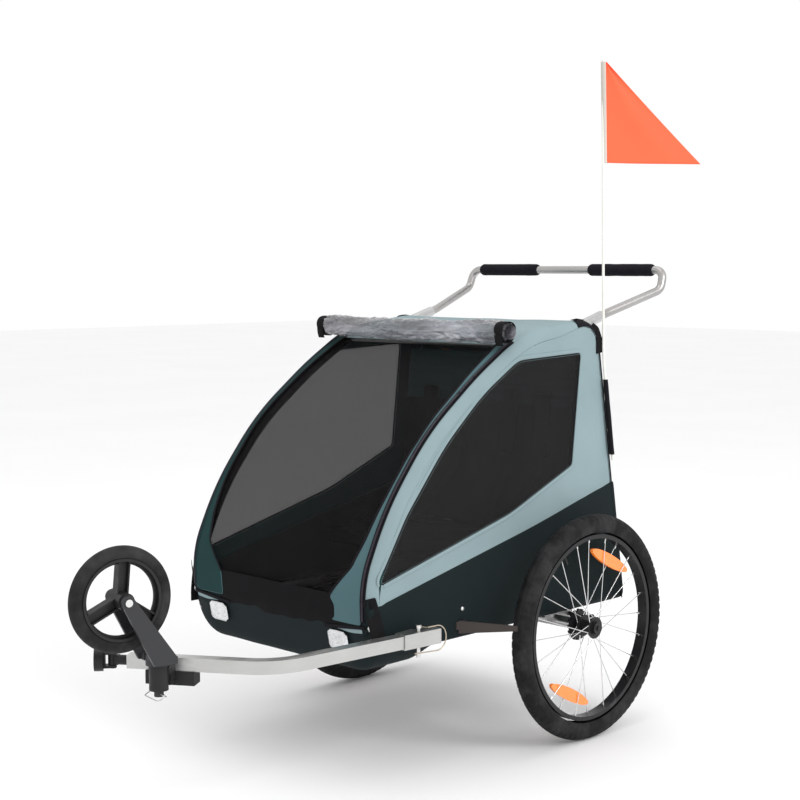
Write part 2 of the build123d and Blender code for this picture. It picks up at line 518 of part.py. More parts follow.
def wheel_axles():
    """Quick-release axles, each with a spring button at its outer end."""
    axle = bar_x(AXLE_TUBE_HALF - 60, HUB_OUT_X + 2, 0, AXLE_Z, AXLE_R)
    axle += bar_x(HUB_OUT_X + 0.3, HUB_OUT_X + 6, 0, AXLE_Z, 14.0)
    axle -= bar_x(HUB_OUT_X - 8, HUB_OUT_X + 7, 0, AXLE_Z, BUTTON_R + BORE_CLEAR)
    button = bar_x(HUB_OUT_X - 4, HUB_OUT_X + 6 + BUTTON_TRAVEL, 0, AXLE_Z, BUTTON_R)
    return {"wheel_axles": both(axle), "axle_button_left": button, "axle_button_right": mirror_x(button)}


def parking_brake():
    """A cross shaft with a foot bar behind the cabin and a pawl below each wheel's toothed disc."""
    y, z = BRAKE_AT
    x0, x1 = BRAKE_DISC_X, BRAKE_DISC_X + PAWL_T
    at = radians(PAWL_AT)
    tip_r, elbow_r = BRAKE_DISC_R - TOOTH_DEPTH + 1.0, BRAKE_DISC_R + 10.0
    tip = (tip_r * cos(at), AXLE_Z + tip_r * sin(at))
    elbow = (elbow_r * cos(at), AXLE_Z + elbow_r * sin(at))
    pawl = bar_x(x0, x1, y, z, 8.0) + bar_x(x0, x1, *elbow, PAWL_W / 2)
    pawl += flat_link(elbow, tip, PAWL_W, x0, x1) + flat_link((y, z), elbow, PAWL_W, x0, x1)
    pawl = Pos(0, y, z) * Rot(BRAKE_TRAVEL, 0, 0) * Pos(0, -y, -z) * pawl
    shaft = bar_x(-x1, x1, y, z, BRAKE_SHAFT_R)
    arm = block(-9, 9, y, PEDAL_Y, z - 6, z - 2) + bar_x(-PEDAL_HALF, PEDAL_HALF, PEDAL_Y, z - 4, PEDAL_R)
    return {"parking_brake": shaft + pawl + mirror_x(pawl) + arm + bar_x(-9, 9, y, z, 8.0)}


def flat_link(start, end, width, x0, x1):
    """A flat bar between two (Y, Z) points."""
    (y0, z0), (y1, z1) = start, end
    length = hypot(y1 - y0, z1 - z0)
    side_y, side_z = (z1 - z0) * width / 2 / length, (y0 - y1) * width / 2 / length
    return profile([(y0 + side_y, z0 + side_z), (y1 + side_y, z1 + side_z),
                    (y1 - side_y, z1 - side_z), (y0 - side_y, z0 - side_z)], x0, x1)


def wheel_guards():
    """Tapered plates from the frame to just in front of each wheel."""
    root, tip = GUARD_ROOT, GUARD_TIP
    along = degrees(atan2(tip[1] - root[1], tip[0] - root[0]))
    length = hypot(tip[0] - root[0], tip[1] - root[1])
    outline = make_face(Plane.XZ * Polyline((0, 12), (length, 4), (length, -7), (0, -15), close=True))
    plate = Pos(*root, RAIL_Z - 2) * Rot(0, 0, along) * extrude(outline, amount=2, both=True)
    flange = guard_flange(RAIL_X, root[0] + 2)
    flange -= Pos(RAIL_X, root[1], RAIL_Z) * along_y(Cylinder(RAIL_R, 60))
    return {"wheel_guards": both(plate + flange)}


def guard_flange(x0, x1, clear=0.0):
    """The foot of a wheel guard on its rail, or with a clearance the space that it needs."""
    front, rear = GUARD_FLANGE
    return block(x0, x1, front - clear, rear + clear,
                 RAIL_Z - GUARD_FLANGE_HALF - clear, RAIL_Z + GUARD_FLANGE_HALF + clear)


# ---- tub and cabin fabric ------------------------------------------------------------------------
def tub():
    outer = BODY_HALF - 0.2
    front_outline = Pos(0, (FOOT_BOTTOM + 700) / 2) * Rectangle(2 * outer, 700 - FOOT_BOTTOM)
    front_outline = fillet(front_outline.vertices().group_by(Axis.Y)[0], FOOT_CORNER_R)
    inner_outline = Pos(0, (FOOT_BOTTOM + TUB_T + 700) / 2) * Rectangle(2 * (outer - TUB_T), 700 - FOOT_BOTTOM - TUB_T)
    inner_outline = fillet(inner_outline.vertices().group_by(Axis.Y)[0], FOOT_CORNER_R - TUB_T)
    top = tub_line_z(FRONT_FOOT[0]) - 3
    face_y = FRONT_FOOT[0] + 0.2
    side = [(face_y, top), (face_y, 335), (-576, FOOT_BOTTOM), (-440, FOOT_BOTTOM),
            (FOOT_REAR, FLOOR_Z), (FOOT_REAR, top)]
    side_in = [(face_y + TUB_T, top + 1), (face_y + TUB_T, 335), (-576 + TUB_T, FOOT_BOTTOM + TUB_T),
               (-440, FOOT_BOTTOM + TUB_T), (FOOT_REAR + 1, FLOOR_Z + TUB_T), (FOOT_REAR + 1, top + 1)]
    scoop = extrude(Plane.XZ * front_outline, amount=700, both=True) & profile(side, -400, 400)
    hollow = extrude(Plane.XZ * inner_outline, amount=700, both=True) & profile(side_in, -400, 400)
    scoop -= hollow
    floor = block(-outer, outer, FOOT_REAR, rear_y(FLOOR_Z, FABRIC_T) - 1, FLOOR_Z, FLOOR_Z + TUB_T)
    slot = block(RAIL_X - AXLE_PLATE_T / 2 - GAP, RAIL_X + AXLE_PLATE_T / 2 + GAP,
                 -AXLE_PLATE_W / 2 - GAP, AXLE_PLATE_W / 2 + GAP, FLOOR_Z - 5, FLOOR_Z + 5)
    floor -= slot + mirror_x(slot)
    wall = profile([(rear_y(FLOOR_Z), FLOOR_Z), (FOOT_REAR, FLOOR_Z), (-440, 300), (-594, 300), FRONT_FOOT,
                    (FRONT_FOOT[0], tub_line_z(FRONT_FOOT[0])), (rear_y(tub_heel_z()), tub_heel_z())],
                   BODY_HALF, BODY_HALF + FABRIC_T)
    through = (BODY_HALF - 84, BODY_HALF + 46)
    passing = receiver_lug(*through, GAP)
    guard = guard_flange(*through, GAP)
    walls = group(wall - passing - guard, mirror_x(wall - guard))
    return {"tub_footwell": scoop - passing - guard - mirror_x(guard), "tub_floor": floor, "tub_sides": walls}


def arch_edges(distance, foot_z, heel_z):
    """The closed side outline of the cabin, moved inward by a distance, between two heights."""
    line, radii = arch_line(distance)
    rear_top = (rear_y(line[-1][1], distance), line[-1][1])
    foot, heel = (line[0][0], foot_z), (rear_y(heel_z, distance), heel_z)
    path = FilletPolyline(foot, *line[1:-1], rear_top, heel, radius=[*radii, REAR_TOP_R - distance])
    return [*path.edges(), Line(heel, foot)]


def tub_heel_z():
    """Height where the tub's upper edge meets the rear fabric."""
    level, slope = TUB_LINE
    return (level + slope * (600 + REAR_TOP[0] + REAR_TOP[1] * REAR_LEAN)) / (1 + slope * REAR_LEAN)


WINDOW = [(-590, 402), (-500, 545), (-385, 680), (-270, 778), (-155, 846), (66, 855), (37, 596), (-176, 509)]
WINDOW_RADII = [12, 300, 600, 500, 90, 12, 15, 400]


def cabin():
    full = solid_of(arch_edges(0, tub_line_z(FRONT_FOOT[0]), tub_heel_z()), BODY_HALF, BODY_HALF + FABRIC_T)
    loop = FilletPolyline(*WINDOW, radius=WINDOW_RADII, close=True)
    pane = solid_of(loop.edges(), BODY_HALF, BODY_HALF + FABRIC_T)
    panel = full - pane
    # roof, rear and front skins lie between the side panels
    width = BODY_HALF - 0.2
    shell = solid_of(arch_edges(0, 200.0, 200.0), -width, width)
    shell -= solid_of(arch_edges(FABRIC_T, 150.0, 150.0), -width - 1, width + 1)
    roof_front = -165.0
    front = shell & block(-400, 400, -800, roof_front, tub_line_z(FRONT_FOOT[0]) - 2.5, 2000)
    rear_split = 60.0
    rear = shell & block(-400, 400, rear_split, 400, FLOOR_Z, 2000)
    roof = shell & block(-400, 400, roof_front, rear_split, 700, 2000)
    socket = tube([(HOOP_X, *socket_point(-20)), (HOOP_X, *socket_point(SOCKET_LENGTH + 5))], None, HOOP_R + 1.5, 0)
    rear -= socket + mirror_x(socket)
    panels = both(panel - socket)
    return {
        "side_panels": panels, "side_windows": both(pane), "front_cover": front,
        "roof_panel": roof, "rear_panel": rear,
    }


def seat():
    half = UPRIGHT_X - UPRIGHT_R - 3
    base = block(-half, half, SEAT_FRONT, SEAT_REAR, SEAT_TOP - SEAT_T, SEAT_TOP)
    base = fillet(base.edges().filter_by(Axis.X), 10)
    lean = 0.11
    foot_y, foot_z = SEAT_REAR - 4, SEAT_TOP + 1.0
    top_y = foot_y + (BACK_TOP - foot_z) * lean
    back = profile([(foot_y, foot_z), (foot_y + BACK_T, foot_z), (top_y + BACK_T, BACK_TOP), (top_y, BACK_TOP)],
                   -BODY_HALF + 22, BODY_HALF - 22)
    straps, buckles = [], []
    for centre in (-128.0, 128.0):
        for x in (centre - 48, centre + 48):
            z0, z1 = SEAT_TOP + 8, BACK_TOP - 90
            y0 = foot_y + (z0 - foot_z) * lean - 3.0
            y1 = foot_y + (z1 - foot_z) * lean - 3.0
            straps.append(profile([(y0, z0), (y0 + 2, z0), (y1 + 2, z1), (y1, z1)], x - 12, x + 12))
            pad_z0, pad_z1 = SEAT_TOP + 190, SEAT_TOP + 320
            y0 = foot_y + (pad_z0 - foot_z) * lean - 10.5
            y1 = foot_y + (pad_z1 - foot_z) * lean - 10.5
            straps.append(profile([(y0, pad_z0), (y0 + 7, pad_z0), (y1 + 7, pad_z1), (y1, pad_z1)], x - 24, x + 24))
        straps.append(block(centre - 12, centre + 12, SEAT_FRONT + 110, SEAT_REAR - 90, SEAT_TOP + 0.5, SEAT_TOP + 2.5))
        buckle = block(centre - 26, centre + 26, SEAT_REAR - 89, SEAT_REAR - 40, SEAT_TOP + 1, SEAT_TOP + 14)
        buckles.append(fillet(buckle.edges().filter_by(Axis.Z), 8))
    return {"seat_base": base, "seat_back": back, "harness": group(*straps), "harness_buckles": group(*buckles)}


def rain_roll():
    y, z = ROLL_AT
    roll = bar_x(-ROLL_HALF, ROLL_HALF, y, z, ROLL_R)
    strap = bar_x(ROLL_HALF - ROLL_STRAP_W, ROLL_HALF, y, z, ROLL_R + 3)
    tab = block(ROLL_HALF - 3.5, ROLL_HALF - 0.5, y + 2, y + 30, z - 62, z - ROLL_R + 2)
    around = bar_x(ROLL_HALF - ROLL_STRAP_W - 3, ROLL_HALF + 3, y, z, ROLL_R + 0.3)
    strap, tab = strap - around, tab - around
    return {"rain_cover_roll": roll, "roll_straps": both(strap + tab)}


def trim():
    patch = block(-22, 22, -2.0, 0, -20, 20)
    face_lean = degrees(atan2(22.0, 335 - FOOT_BOTTOM))
    patch = Pos(BODY_HALF - 91, FRONT_FOOT[0] + 8.2, 292) * Rot(face_lean, 0, 0) * patch
    flap = block(BODY_HALF + FABRIC_T + 0.3, BODY_HALF + FABRIC_T + 3.3, -590, -555, 292, 372)
    return {"front_reflectors": both(patch), "corner_flaps": both(flap)}


def flag():
    lean = atan2(REAR_LEAN, 1)
    low = (POLE_X, rear_y(600, -6 + 14), 600.0)
    knee = (POLE_X, low[1] - 235 * sin(lean), 600 + 235 * cos(lean))
    top = (POLE_X, knee[1] - 14, FLAG_TOP)
    pole = tube([low, knee, top], [400], POLE_R, 0)
    s0, s1 = 12.0, 190.0
    sleeve = tube([(POLE_X, low[1] - s0 * sin(lean), 600 + s0 * cos(lean)),
                   (POLE_X, low[1] - s1 * sin(lean), 600 + s1 * cos(lean))], None, POLE_R + 3, POLE_R + 0.3)
    height = FLAG_TOP - FLAG_BOTTOM - 2
    per_mm = (top[1] - knee[1]) / (top[2] - knee[2])
    drift = height * per_mm * sin(radians(FLAG_TURN))
    hoist = POLE_R + 0.8
    outline = Polyline((hoist, 0), (FLAG_LENGTH, 0), (hoist + drift + 5, height), (hoist + drift, height), close=True)
    cloth = extrude(make_face(Plane.XZ * outline), amount=0.6, both=True)
    cloth = Pos(POLE_X, knee[1] + per_mm * (FLAG_BOTTOM - knee[2]), FLAG_BOTTOM) * Rot(0, 0, FLAG_TURN) * cloth
    return {"flag_pole": pole, "flag_sleeve": sleeve, "flag": cloth}


def build():
    nodes = {}
    for make in (base_frame, pivot_bolts, hoops, uprights, handlebar, hitch, coupler, caster,
                 wheel_axles, parking_brake, wheel_guards, tub, cabin, seat, rain_roll, trim, flag):
        nodes.update(make())
    nodes.update(wheel_nodes(1))
    nodes.update(wheel_nodes(-1))
    return nodes


nodes = build()
box = Compound(children=[solid for shape in nodes.values() for solid in shape.solids()]).bounding_box()
shift = -(box.min.Y + box.max.Y) / 2
lift = WHEEL_R - AXLE_Z
os.makedirs("parts", exist_ok=True)
for name, shape in nodes.items():
    export_step(Compound(children=[Pos(0, shift, lift) * solid for solid in shape.solids()]), f"parts/{name}.step")
print("nodes", len(nodes), "shift along Y", round(shift, 3))
print("box", [round(v, 2) for v in (*box.min, *box.max)])
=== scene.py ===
"""Looks of the child bicycle trailer, built round its CAD frame.

Places are given in the trailer's own millimetres: X from the centre plane with the left side positive,
Y from the wheel axle with the front negative, Z from the ground. at() turns them into the frame's metres.
"""
from collections import Counter
from math import atan2, cos, hypot, pi, radians, sin, sqrt

import bmesh
import bpy
from mathutils import Matrix, Vector, noise


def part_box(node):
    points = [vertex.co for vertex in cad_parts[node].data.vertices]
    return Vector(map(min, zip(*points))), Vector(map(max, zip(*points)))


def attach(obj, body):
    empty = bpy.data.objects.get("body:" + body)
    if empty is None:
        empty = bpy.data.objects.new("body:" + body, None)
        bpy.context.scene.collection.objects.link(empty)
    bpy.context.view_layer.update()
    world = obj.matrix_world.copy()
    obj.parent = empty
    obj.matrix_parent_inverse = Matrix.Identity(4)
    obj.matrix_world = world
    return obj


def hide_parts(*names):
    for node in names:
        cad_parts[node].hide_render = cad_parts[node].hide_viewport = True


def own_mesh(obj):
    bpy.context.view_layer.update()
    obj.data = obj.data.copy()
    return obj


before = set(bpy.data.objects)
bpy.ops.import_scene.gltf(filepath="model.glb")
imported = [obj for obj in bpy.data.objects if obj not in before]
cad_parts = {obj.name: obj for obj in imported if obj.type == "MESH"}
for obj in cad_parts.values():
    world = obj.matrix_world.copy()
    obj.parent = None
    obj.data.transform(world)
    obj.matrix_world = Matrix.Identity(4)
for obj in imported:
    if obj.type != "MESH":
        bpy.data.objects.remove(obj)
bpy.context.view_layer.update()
MM = 0.001
AXLE_Y = (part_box("axle_tube")[0][1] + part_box("axle_tube")[1][1]) / 2
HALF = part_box("side_panels")[1][0] / MM        # outer face of the side fabric
WHEEL_X = (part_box("tyre_left")[0][0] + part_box("tyre_left")[1][0]) / 2 / MM
AXLE_Z = (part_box("axle_tube")[0][2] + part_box("axle_tube")[1][2]) / 2 / MM
TYRE_R = (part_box("tyre_left")[1][2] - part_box("tyre_left")[0][2]) / 2 / MM


# ---- places --------------------------------------------------------------------------------------
def at(x, y, z):
    return Vector((x * MM, AXLE_Y + y * MM, z * MM))


def mix(a, b, t):
    return a + (b - a) * t


def smooth(t):
    t = min(max(t, 0.0), 1.0)
    return t * t * (3 - 2 * t)


def rounded(points, radii, steps=10):
    """Corner points turned into a line with its inner corners replaced by arcs."""
    line = [Vector(points[0])]
    for before, corner, after, radius in zip(points, points[1:], points[2:], radii):
        corner = Vector(corner)
        back, ahead = (Vector(before) - corner).normalized(), (Vector(after) - corner).normalized()
        half = back.angle(ahead) / 2
        reach = radius * cos(half) / sin(half)
        start, end = corner + back * reach, corner + ahead * reach
        centre = corner + (back + ahead).normalized() * (radius / sin(half))
        for i in range(steps + 1):
            spot = mix(start, end, i / steps) - centre
            line.append(centre + spot.normalized() * radius)
    line.append(Vector(points[-1]))
    return line


class Path:
    """A line measured by its length, in the plane or in space."""

    def __init__(self, points, closed=False):
        self.points = [Vector(p) for p in points]
        if closed:
            self.points.append(self.points[0].copy())
        self.reach = [0.0]
        for a, b in zip(self.points, self.points[1:]):
            self.reach.append(self.reach[-1] + (b - a).length)
        self.length = self.reach[-1]

    def spot(self, along):
        along = min(max(along, 0.0), self.length)
        low, high = 0, len(self.reach) - 1
        while high - low > 1:
            middle = (low + high) // 2
            low, high = (middle, high) if self.reach[middle] <= along else (low, middle)
        span = self.reach[high] - self.reach[low]
        return low, (along - self.reach[low]) / span if span else 0.0

    def point(self, along):
        i, t = self.spot(along)
        return mix(self.points[i], self.points[i + 1], t)

    def heading(self, along, step=4.0):
        low, high = max(along - step, 0.0), min(along + step, self.length)
        return (self.point(high) - self.point(low)).normalized()

    def nearest(self, target):
        return min((self.reach[i] for i in range(len(self.points))),
                   key=lambda r: (self.point(r) - Vector(target)).length)


# ---- cabin outline -------------------------------------------------------------------------------
FRONT_FOOT = (-598, 335)
TUB_TOE = (-576, 229)
REAR_TOP, REAR_LEAN = (124, 926), 0.1646
ARCH = [TUB_TOE, FRONT_FOOT, (-602, 420), (-536, 560), (-420, 704), (-270, 815), (-120, 905), REAR_TOP]
ARCH_RADII = [60, 200, 600, 600, 900, 360, 65]
FLOOR_Z = 266
EDGE_R = 28.0                # the fabric's corner round the hoops
REAR_EDGE_R = 12.0


def rear_y(z):
    return REAR_TOP[0] + (REAR_TOP[1] - z) * REAR_LEAN


REAR_FOOT = rear_y(FLOOR_Z)
OUTLINE = Path(rounded([*ARCH, (REAR_FOOT, FLOOR_Z)], ARCH_RADII))
FOOT_AT = OUTLINE.nearest(FRONT_FOOT)
ROLL_FRONT_AT = OUTLINE.nearest((-165, 878)) - FOOT_AT
CORNER_AT = OUTLINE.nearest((118, 918)) - FOOT_AT
TUB_LEVEL, TUB_SLOPE = 361, 0.22


def tub_line_z(y):
    return TUB_LEVEL + TUB_SLOPE * (y + 600)


HEEL_Z = (TUB_LEVEL + TUB_SLOPE * (600 + REAR_TOP[0] + REAR_TOP[1] * REAR_LEAN)) / (1 + TUB_SLOPE * REAR_LEAN)
HEEL_AT = OUTLINE.length - FOOT_AT - (HEEL_Z - FLOOR_Z) * hypot(1, REAR_LEAN)


def edge_radius(s):
    """The fabric bends widely round the hoops and tightly at the back."""
    return mix(EDGE_R, REAR_EDGE_R, smooth((s - 860) / 120))


def outline_spot(s):
    """Point and inward direction of the cabin's outline, s from the front foot."""
    y, z = OUTLINE.point(s + FOOT_AT)
    ahead = OUTLINE.heading(s + FOOT_AT)
    return (y, z), (ahead.y, -ahead.x)


def skin(s, w, sink=0.0):
    """A point on the cabin's skin: s along the outline, w from the centre across and round onto the side."""
    radius = edge_radius(s)
    flat = HALF - radius
    side, across = (1 if w >= 0 else -1), abs(w)
    turn = min(max((across - flat) / radius, 0.0), pi / 2)
    beyond = max(across - flat - radius * pi / 2, 0.0)
    x = min(across, flat) + (radius - sink) * sin(turn)
    depth = radius - (radius - sink) * cos(turn) + beyond
    (y, z), (ny, nz) = outline_spot(s)
    return at(side * x, y + ny * depth, z + nz * depth)


# ---- making meshes -------------------------------------------------------------------------------
SEAM_GAP = 0.00002             # vertices this close in metres are one, where a tube's sides meet


def grid(bm, place, across, along, size):
    """A grid of quads laid out by place(u, v), each from 0 to 1, with its flat size in metres as UV."""
    made = bmesh.ops.create_grid(bm, x_segments=across, y_segments=along, size=1.0)
    layer = bm.loops.layers.uv.verify()
    corners = {v: ((v.co.x + 1) / 2, (v.co.y + 1) / 2) for v in made["verts"]}
    faces = {f for v in made["verts"] for f in v.link_faces}
    for v, (u, t) in corners.items():
        v.co = place(u, t)
    for face in faces:
        for loop in face.loops:
            u, t = corners[loop.vert]
            loop[layer].uv = (u * size[0], t * size[1])


def merge(bm, gap):
    """Joins the vertices that lie closer than a gap in metres."""
    bmesh.ops.remove_doubles(bm, verts=bm.verts, dist=gap)


def close(bm, gap=SEAM_GAP):
    """Joins the seams of tubes and straps, and fills their open ends."""
    merge(bm, gap)
    bmesh.ops.holes_fill(bm, edges=[e for e in bm.edges if e.is_boundary], sides=0)


def piece(name, bm, body, materials, replaces=(), thick=0.0, level=0, fold=False):
    """Makes a mesh into a named piece of the trailer that rides on a body."""
    bmesh.ops.recalc_face_normals(bm, faces=bm.faces)
    mesh = bpy.data.meshes.new(name)
    bm.to_mesh(mesh)
    bm.free()
    mesh.shade_smooth()
    obj = bpy.data.objects.new(name, mesh)
    bpy.context.scene.collection.objects.link(obj)
    for material in materials if isinstance(materials, (list, tuple)) else [materials]:
        mesh.materials.append(material)
    if thick:
        wall = obj.modifiers.new("wall", "SOLIDIFY")
        wall.thickness, wall.offset, wall.use_even_offset = thick * MM, -1.0, False
        if len(mesh.materials) > 1:
            wall.material_offset, wall.material_offset_rim = 1, 0
    if level:
        more = obj.modifiers.new("smooth", "SUBSURF")
        more.levels = more.render_levels = level
    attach(obj, body)
    if replaces:
        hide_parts(*replaces)
    if fold:
        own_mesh(obj)
    return obj


def cloth(obj, width, length):
    """Measures the area of a sheet's mesh, given its cut size in millimetres. Where the mesh has
    more cloth than the cut, or under a third of it, the cut is scaled to hold it.

    The area is halved for a closed tube or band; nothing is done with it after that.
    """
    area = sum(p.area for p in obj.data.polygons)
    uses = Counter(key for p in obj.data.polygons for key in p.edge_keys)
    vertices = obj.data.vertices
    open_edge = sum((vertices[a].co - vertices[b].co).length for (a, b), n in uses.items() if n == 1)
    if open_edge < 0.5 * (width + length) * MM:        # a closed tube or band has the cloth on both its sides
        area /= 2


def ring_tube(bm, path, radius, sides, step, flat=1.0):
    """An open tube along a path in metres; flat squeezes its height."""
    count = int(path.length / step)
    up = Vector((0, 0, 1))

    def place(u, v):
        along = path.length * v
        ahead = path.heading(along, step=path.length / count / 2)
        side = ahead.cross(up).normalized()
        lift = side.cross(ahead).normalized()
        turn = 2 * pi * u
        return path.point(along) + (side * cos(turn) + lift * sin(turn) * flat) * radius

    grid(bm, place, sides, count, size=(2 * pi * radius, path.length))


# Corners of a strap's section with soft edges, as shares of its half-width and half-thickness
STRAP_SECTION = [(-1, -0.3), (-0.94, -1), (0.94, -1), (1, -0.3), (1, 0.3), (0.94, 1), (-0.94, 1), (-1, 0.3)]
STRAP_STEP = 0.006


def strap_band(bm, points, sideways, width, thick):
    """A flat strap through points in metres, its width lying sideways; width and thickness in millimetres."""
    path, side = Path(points), Vector(sideways).normalized()
    corners = len(STRAP_SECTION)

    def place(u, v):
        along = path.length * v
        up = path.heading(along, step=0.004).cross(side).normalized()
        a, b = STRAP_SECTION[round(u * corners) % corners]
        return path.point(along) + side * (a * width / 2 * MM) + up * (b * thick / 2 * MM)

    grid(bm, place, corners, max(6, int(path.length / STRAP_STEP)), size=(2 * width * MM, path.length))
    merge(bm, 0.00001)
    bmesh.ops.holes_fill(bm, edges=[e for e in bm.edges if e.is_boundary], sides=0)


# ---- materials -----------------------------------------------------------------------------------
class Finish:
    """A material being made: nodes are added by type and wired by name."""

    def __init__(self, name, colour, rough, **sockets):
        self.material = bpy.data.materials.new(name)
        self.material.use_nodes = True
        self.tree = self.material.node_tree
        self.shader = self.tree.nodes["Principled BSDF"]
        self.colour = (*colour, 1.0)
        self.shader.inputs["Base Color"].default_value = self.colour
        self.shader.inputs["Roughness"].default_value = rough
        for socket, value in sockets.items():
            self.shader.inputs[socket.replace("_", " ")].default_value = value
        self.height = None

    def add(self, kind, inputs=None, **settings):
        node = self.tree.nodes.new(kind)
        for key, value in settings.items():
            setattr(node, key, value)
        for key, value in (inputs or {}).items():
            if isinstance(value, bpy.types.NodeSocket):
                self.tree.links.new(value, node.inputs[key])
            else:
                node.inputs[key].default_value = value
        return node

    def coordinates(self, kind="Object", scale=(1, 1, 1), turn=(0, 0, 0)):
        source = self.add("ShaderNodeTexCoord").outputs[kind]
        return self.add("ShaderNodeMapping", {"Vector": source, "Scale": scale, "Rotation": turn}).outputs["Vector"]

    def noise(self, scale, detail=4.0, kind="Object", stretch=(1, 1, 1), distortion=0.0):
        where = self.coordinates(kind, stretch)
        return self.add("ShaderNodeTexNoise", {"Vector": where, "Scale": scale, "Detail": detail,
                                               "Distortion": distortion}).outputs["Fac"]

    def waves(self, per_metre, kind="UV", turn=0.0, distortion=0.0, profile="SIN"):
        """Bands across U, so many to a metre."""
        where = self.coordinates(kind, turn=(0, 0, turn))
        return self.add("ShaderNodeTexWave", {"Vector": where, "Scale": per_metre * pi / 10, "Distortion": distortion},
                        wave_type="BANDS", bands_direction="X", wave_profile=profile).outputs["Fac"]

    def ramp(self, value, stops):
        node = self.add("ShaderNodeValToRGB", {"Fac": value})
        while len(node.color_ramp.elements) < len(stops):
            node.color_ramp.elements.new(0.5)
        for element, (spot, colour) in zip(node.color_ramp.elements, stops):
            element.position = spot
            element.color = (*colour, 1.0) if len(colour) == 3 else colour
        return node.outputs["Color"]

    def math(self, operation, a, b):
        return self.add("ShaderNodeMath", {0: a, 1: b}, operation=operation).outputs["Value"]

    def blotches(self, scale, spread, detail=4.0, kind="Object"):
        """Varies the colour softly by a share up and down."""
        stops = [(0.3, tuple(c * (1 - spread) for c in self.colour[:3])),
                 (0.7, tuple(min(c * (1 + spread), 1.0) for c in self.colour[:3]))]
        self.paint(self.ramp(self.noise(scale, detail, kind), stops))
        return self

    def paint(self, colour):
        self.tree.links.new(colour, self.shader.inputs["Base Color"])
        return self

    def roughen(self, scale, low, high, stretch=(1, 1, 1)):
        value = self.noise(scale, 5.0, stretch=stretch)
        span = self.add("ShaderNodeMapRange", {"Value": value, "From Min": 0.3, "From Max": 0.7,
                                               "To Min": low, "To Max": high})
        self.tree.links.new(span.outputs["Result"], self.shader.inputs["Roughness"])
        return self

    def bump(self, value, depth_mm, strength=1.0):
        inputs = {"Height": value, "Distance": depth_mm * MM, "Strength": strength}
        if self.height is not None:
            inputs["Normal"] = self.height
        self.height = self.add("ShaderNodeBump", inputs).outputs["Normal"]
        self.tree.links.new(self.height, self.shader.inputs["Normal"])
        return self

    def tint(self, value, dark, light=1.0):
        """Multiplies what is painted so far by a pattern between two levels."""
        link = self.shader.inputs["Base Color"].links
        base = link[0].from_socket if link else self.colour
        shade = self.ramp(value, [(0.0, (dark,) * 3), (1.0, (light,) * 3)])
        node = self.add("ShaderNodeMix", {"Factor": 1.0}, data_type="RGBA", blend_type="MULTIPLY")
        for key, source in ((6, base), (7, shade)):
            if isinstance(source, bpy.types.NodeSocket):
                self.tree.links.new(source, node.inputs[key])
            else:
                node.inputs[key].default_value = source
        return self.paint(node.outputs[2])


def woven(name, colour, rough=0.8, thread_mm=0.9, shine=0.3, spread=0.08, depth=0.12):
    """Coated plain-weave polyester, with faint creases."""
    f = Finish(name, colour, rough, Specular_IOR_Level=shine)
    f.blotches(5.0, spread)
    warp, weft = f.waves(1000 / thread_mm), f.waves(1000 / thread_mm, turn=pi / 2)
    weave = f.math("MULTIPLY", warp, weft)
    f.tint(weave, 0.86)
    f.bump(weave, depth, 0.6)
    f.bump(f.noise(14.0, 3.0, stretch=(1, 1, 0.6)), 2.5, 0.35)
    return f.material


def netting(name, colour, hole_mm, solid, open_alpha, rough=0.7):
    """Knitted mesh: threads round small open holes."""
    f = Finish(name, colour, rough, Specular_IOR_Level=0.1)
    a, b = f.waves(1000 / hole_mm, turn=pi / 4), f.waves(1000 / hole_mm, turn=-pi / 4)
    holes = f.math("MULTIPLY", a, b)
    alpha = f.add("ShaderNodeMapRange", {"Value": holes, "From Min": 0.05, "From Max": 0.45, "To Min": solid,
                                         "To Max": open_alpha})
    f.tree.links.new(alpha.outputs["Result"], f.shader.inputs["Alpha"])
    f.blotches(30.0, 0.15, kind="UV")
    f.bump(holes, 0.25, 0.5)
    return f.material


def moulded(name, colour, rough=0.45, grain=0.04, spread=0.06, **sockets):
    """Moulded plastic with a fine spark-eroded grain."""
    f = Finish(name, colour, rough, Specular_IOR_Level=0.25, **sockets)
    f.blotches(18.0, spread)
    f.roughen(40.0, rough * 0.85, rough * 1.2)
    f.bump(f.noise(1400.0, 2.0), grain, 0.5)
    return f.material


def anodised(name, colour, rough=0.32, along=(1, 1, 1), spread=0.05):
    """Drawn and satin-anodised aluminium with fine lines along its length."""
    f = Finish(name, colour, rough, Metallic=1.0)
    f.blotches(12.0, spread)
    f.roughen(160.0, rough * 0.8, rough * 1.35, stretch=along)
    f.bump(f.noise(700.0, 3.0, stretch=along), 0.02, 0.5)
    return f.material


def coated(name, colour, rough=0.35):
    """Powder coat over steel, slightly orange-peeled and worn pale on scuffs."""
    f = Finish(name, colour, rough, Specular_IOR_Level=0.25)
    worn = tuple(c * 1.8 + 0.02 for c in colour)
    f.paint(f.ramp(f.noise(26.0, 8.0), [(0.62, colour), (0.78, worn)]))
    f.roughen(50.0, rough * 0.8, rough * 1.3)
    f.bump(f.noise(420.0, 2.0), 0.06, 0.5)
    return f.material


def steel(name, colour=(0.66, 0.66, 0.65), rough=0.25):
    f = Finish(name, colour, rough, Metallic=1.0)
    f.blotches(60.0, 0.08)
    f.roughen(200.0, rough * 0.7, rough * 1.5)
    f.bump(f.noise(900.0, 2.0), 0.01, 0.4)
    return f.material


def rubber(name, colour=(0.0095, 0.0095, 0.010), rough=0.72):
    """Tyre rubber with dust in its low places."""
    f = Finish(name, colour, rough, Specular_IOR_Level=0.15)
    dusty = tuple(c * 2.2 + 0.008 for c in colour)
    f.paint(f.ramp(f.noise(22.0, 7.0), [(0.42, colour), (0.72, dusty)]))
    f.roughen(90.0, rough * 0.85, min(rough * 1.2, 1.0))
    f.bump(f.noise(600.0, 3.0), 0.05, 0.5)
    return f.material


